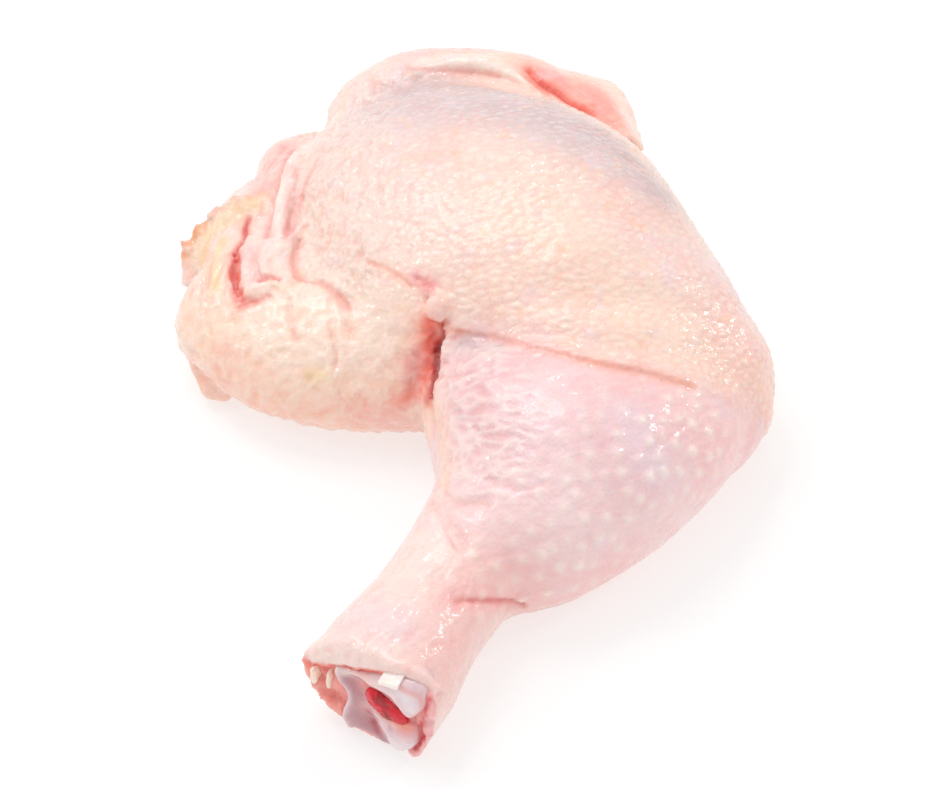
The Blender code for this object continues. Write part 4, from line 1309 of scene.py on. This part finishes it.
def wet_material(name, roughness, subsurface, radius, bump, coat):
    """Moist tissue: its painted tones with fine grain, light passing through it and a wet film."""
    graph = Graph(name)
    shader = graph.shader
    graph.coordinates = graph.add("ShaderNodeTexCoord")

    tone = graph.add("ShaderNodeAttribute", attribute_name="tone")
    fleck = graph.texture("ShaderNodeTexNoise", Scale=900.0, Detail=3.0, Roughness=0.6)
    shade = graph.add("ShaderNodeMapRange", To_Min=0.93, To_Max=1.06)
    graph.join(fleck.outputs["Fac"], shade.inputs["Value"])
    mixed = graph.add("ShaderNodeVectorMath", operation="MULTIPLY")
    graph.join(tone.outputs["Color"], mixed.inputs[0])
    graph.join(shade.outputs["Result"], mixed.inputs[1])
    graph.join(mixed.outputs["Vector"], shader.inputs["Base Color"])

    wetness = graph.texture("ShaderNodeTexNoise", Scale=350.0, Detail=2.0)
    limits = {"To_Min": roughness - ROUGHNESS_SWING, "To_Max": roughness + ROUGHNESS_SWING}
    sheen = graph.add("ShaderNodeMapRange", From_Min=0.3, From_Max=0.7, **limits)
    graph.join(wetness.outputs["Fac"], sheen.inputs["Value"])
    graph.join(sheen.outputs["Result"], shader.inputs["Roughness"])

    pores = graph.texture("ShaderNodeTexVoronoi", Scale=1100.0)
    ripple = graph.texture("ShaderNodeTexNoise", Scale=1500.0, Detail=3.0)
    relief = graph.add("ShaderNodeMath", operation="MULTIPLY_ADD")
    graph.join(ripple.outputs["Fac"], relief.inputs[0])
    relief.inputs[1].default_value = 0.6
    graph.join(pores.outputs["Distance"], relief.inputs[2])
    graph.raise_by(relief.outputs["Value"], bump, "Normal")
    film = graph.texture("ShaderNodeTexNoise", Scale=800.0, Detail=1.0)
    graph.raise_by(film.outputs["Fac"], FILM_HEIGHT, "Coat Normal")

    shader.inputs["Subsurface Weight"].default_value = subsurface
    shader.inputs["Subsurface Radius"].default_value = radius
    shader.inputs["Subsurface Scale"].default_value = SUBSURFACE_SCALE
    shader.inputs["Coat Weight"].default_value = coat
    shader.inputs["Coat Roughness"].default_value = FILM_ROUGHNESS
    shader.inputs["IOR"].default_value = TISSUE_IOR
    return graph.material


def dress(obj, material):
    """Gives a piece its material and smooth shading."""
    obj.data.materials.clear()
    obj.data.materials.append(material)
    obj.data.shade_smooth()


def place_on_frame(skin, pieces):
    """Moves all pieces so that the skin's box has the frame's middle; returns the move in mm."""
    low, high = [np.array(corner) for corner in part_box("leg_flesh")]
    places = vertex_places(skin) * MM
    middle = (places.min(axis=0) + places.max(axis=0)) / 2
    move = Vector((low + high) / 2 - middle)
    move.z = 0
    for obj in pieces:
        for vertex in obj.data.vertices:
            vertex.co += move
        obj.data.update()
    return move / MM


FLOOR_COLOUR = (0.45, 0.45, 0.45)
FLOOR_GLOW = 0.56
FLOOR_HALF = 4
SOFT_LIGHT = 0.78
BACKDROP = 1.0
# Round softboxes: where each is in metres, how wide, and its power in watts.
SOFTBOXES = {
    "above": ((-0.3, 0.3, 0.9), 0.5, 2.2),
    "behind": ((0.05, 0.75, 0.8), 0.12, 0.5),
    "behind_left": ((-0.5, 0.5, 0.75), 0.12, 0.5),
    "right": ((0.75, 0.2, 0.6), 0.14, 0.9),
    "left": ((-0.75, 0, 0.65), 0.12, 0.6),
}
CAMERA_ELEVATION = math.radians(50)
CAMERA_DISTANCE = 0.593
CAMERA_LENS = 100
CAMERA_SENSOR = 36


def make_floor():
    """A pale floor that glows a little, so that it stays nearly white beside soft shadows."""
    mesh = bmesh.new()
    signs = [(-1, -1), (1, -1), (1, 1), (-1, 1)]
    mesh.faces.new([mesh.verts.new((x * FLOOR_HALF, y * FLOOR_HALF, 0)) for x, y in signs])
    floor = add_object("floor", mesh)
    graph = Graph("floor")
    graph.shader.inputs["Base Color"].default_value = (*FLOOR_COLOUR, 1)
    graph.shader.inputs["Roughness"].default_value = 0.9
    graph.shader.inputs["Specular IOR Level"].default_value = 0.1
    graph.shader.inputs["Emission Color"].default_value = (1, 1, 1, 1)
    graph.shader.inputs["Emission Strength"].default_value = FLOOR_GLOW
    floor.data.materials.append(graph.material)


def make_lights():
    """Soft light from all round, a white backdrop for the camera, and the softboxes."""
    world = bpy.data.worlds.new("studio")
    bpy.context.scene.world = world
    world.use_nodes = True
    nodes, links = world.node_tree.nodes, world.node_tree.links
    soft = nodes["Background"]
    soft.inputs["Color"].default_value = (1, 1, 1, 1)
    soft.inputs["Strength"].default_value = SOFT_LIGHT
    seen = nodes.new("ShaderNodeBackground")
    seen.inputs["Strength"].default_value = BACKDROP
    path = nodes.new("ShaderNodeLightPath")
    mix = nodes.new("ShaderNodeMixShader")
    links.new(path.outputs["Is Camera Ray"], mix.inputs["Fac"])
    links.new(soft.outputs["Background"], mix.inputs[1])
    links.new(seen.outputs["Background"], mix.inputs[2])
    links.new(mix.outputs["Shader"], nodes["World Output"].inputs["Surface"])

    for name, (place, size, power) in SOFTBOXES.items():
        light = bpy.data.lights.new(name, "AREA")
        light.shape = "DISK"
        light.size = size
        light.energy = power
        lamp = bpy.data.objects.new(name, light)
        lamp.location = place
        lamp.rotation_euler = (-Vector(place)).to_track_quat("-Z", "Y").to_euler()
        bpy.context.scene.collection.objects.link(lamp)


def make_camera(move):
    """A long lens that looks down on the piece from the hock's side."""
    camera = bpy.data.cameras.new("camera")
    camera.lens = CAMERA_LENS
    camera.sensor_width = CAMERA_SENSOR
    camera.clip_start = 0.01
    eye = bpy.data.objects.new("camera", camera)
    back = Vector((0, -math.cos(CAMERA_ELEVATION), math.sin(CAMERA_ELEVATION)))
    eye.location = move * MM + back * CAMERA_DISTANCE
    eye.rotation_euler = (-back).to_track_quat("-Z", "Y").to_euler()
    bpy.context.scene.collection.objects.link(eye)
    bpy.context.scene.camera = eye


def main():
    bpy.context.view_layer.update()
    skin = make_skin()
    finish_skin(skin)
    pieces = {
        "leg_flesh": skin,
        "shin_bone": make_bone(),
        "bone_marrow": make_marrow(),
        "cartilage_tab": make_tab(),
    }
    pieces.update({name: make_tendon(name) for name in TENDONS})
    move = place_on_frame(skin, pieces.values())
    materials = {slot: wet_material(slot, *finish) for slot, finish in TISSUES.items()}
    for node, piece in pieces.items():
        piece.name = "fine_" + node
        dress(piece, materials[SLOTS[node]])
        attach(piece, "root")
        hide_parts(node)

    make_floor()
    make_lights()
    make_camera(move)
    bpy.context.scene.view_settings.view_transform = "Standard"


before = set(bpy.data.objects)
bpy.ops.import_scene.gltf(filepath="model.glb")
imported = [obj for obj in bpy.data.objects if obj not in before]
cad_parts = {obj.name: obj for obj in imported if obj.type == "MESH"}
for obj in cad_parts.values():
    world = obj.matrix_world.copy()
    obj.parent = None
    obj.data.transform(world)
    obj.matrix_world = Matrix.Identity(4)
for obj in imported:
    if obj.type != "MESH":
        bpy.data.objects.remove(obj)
main()
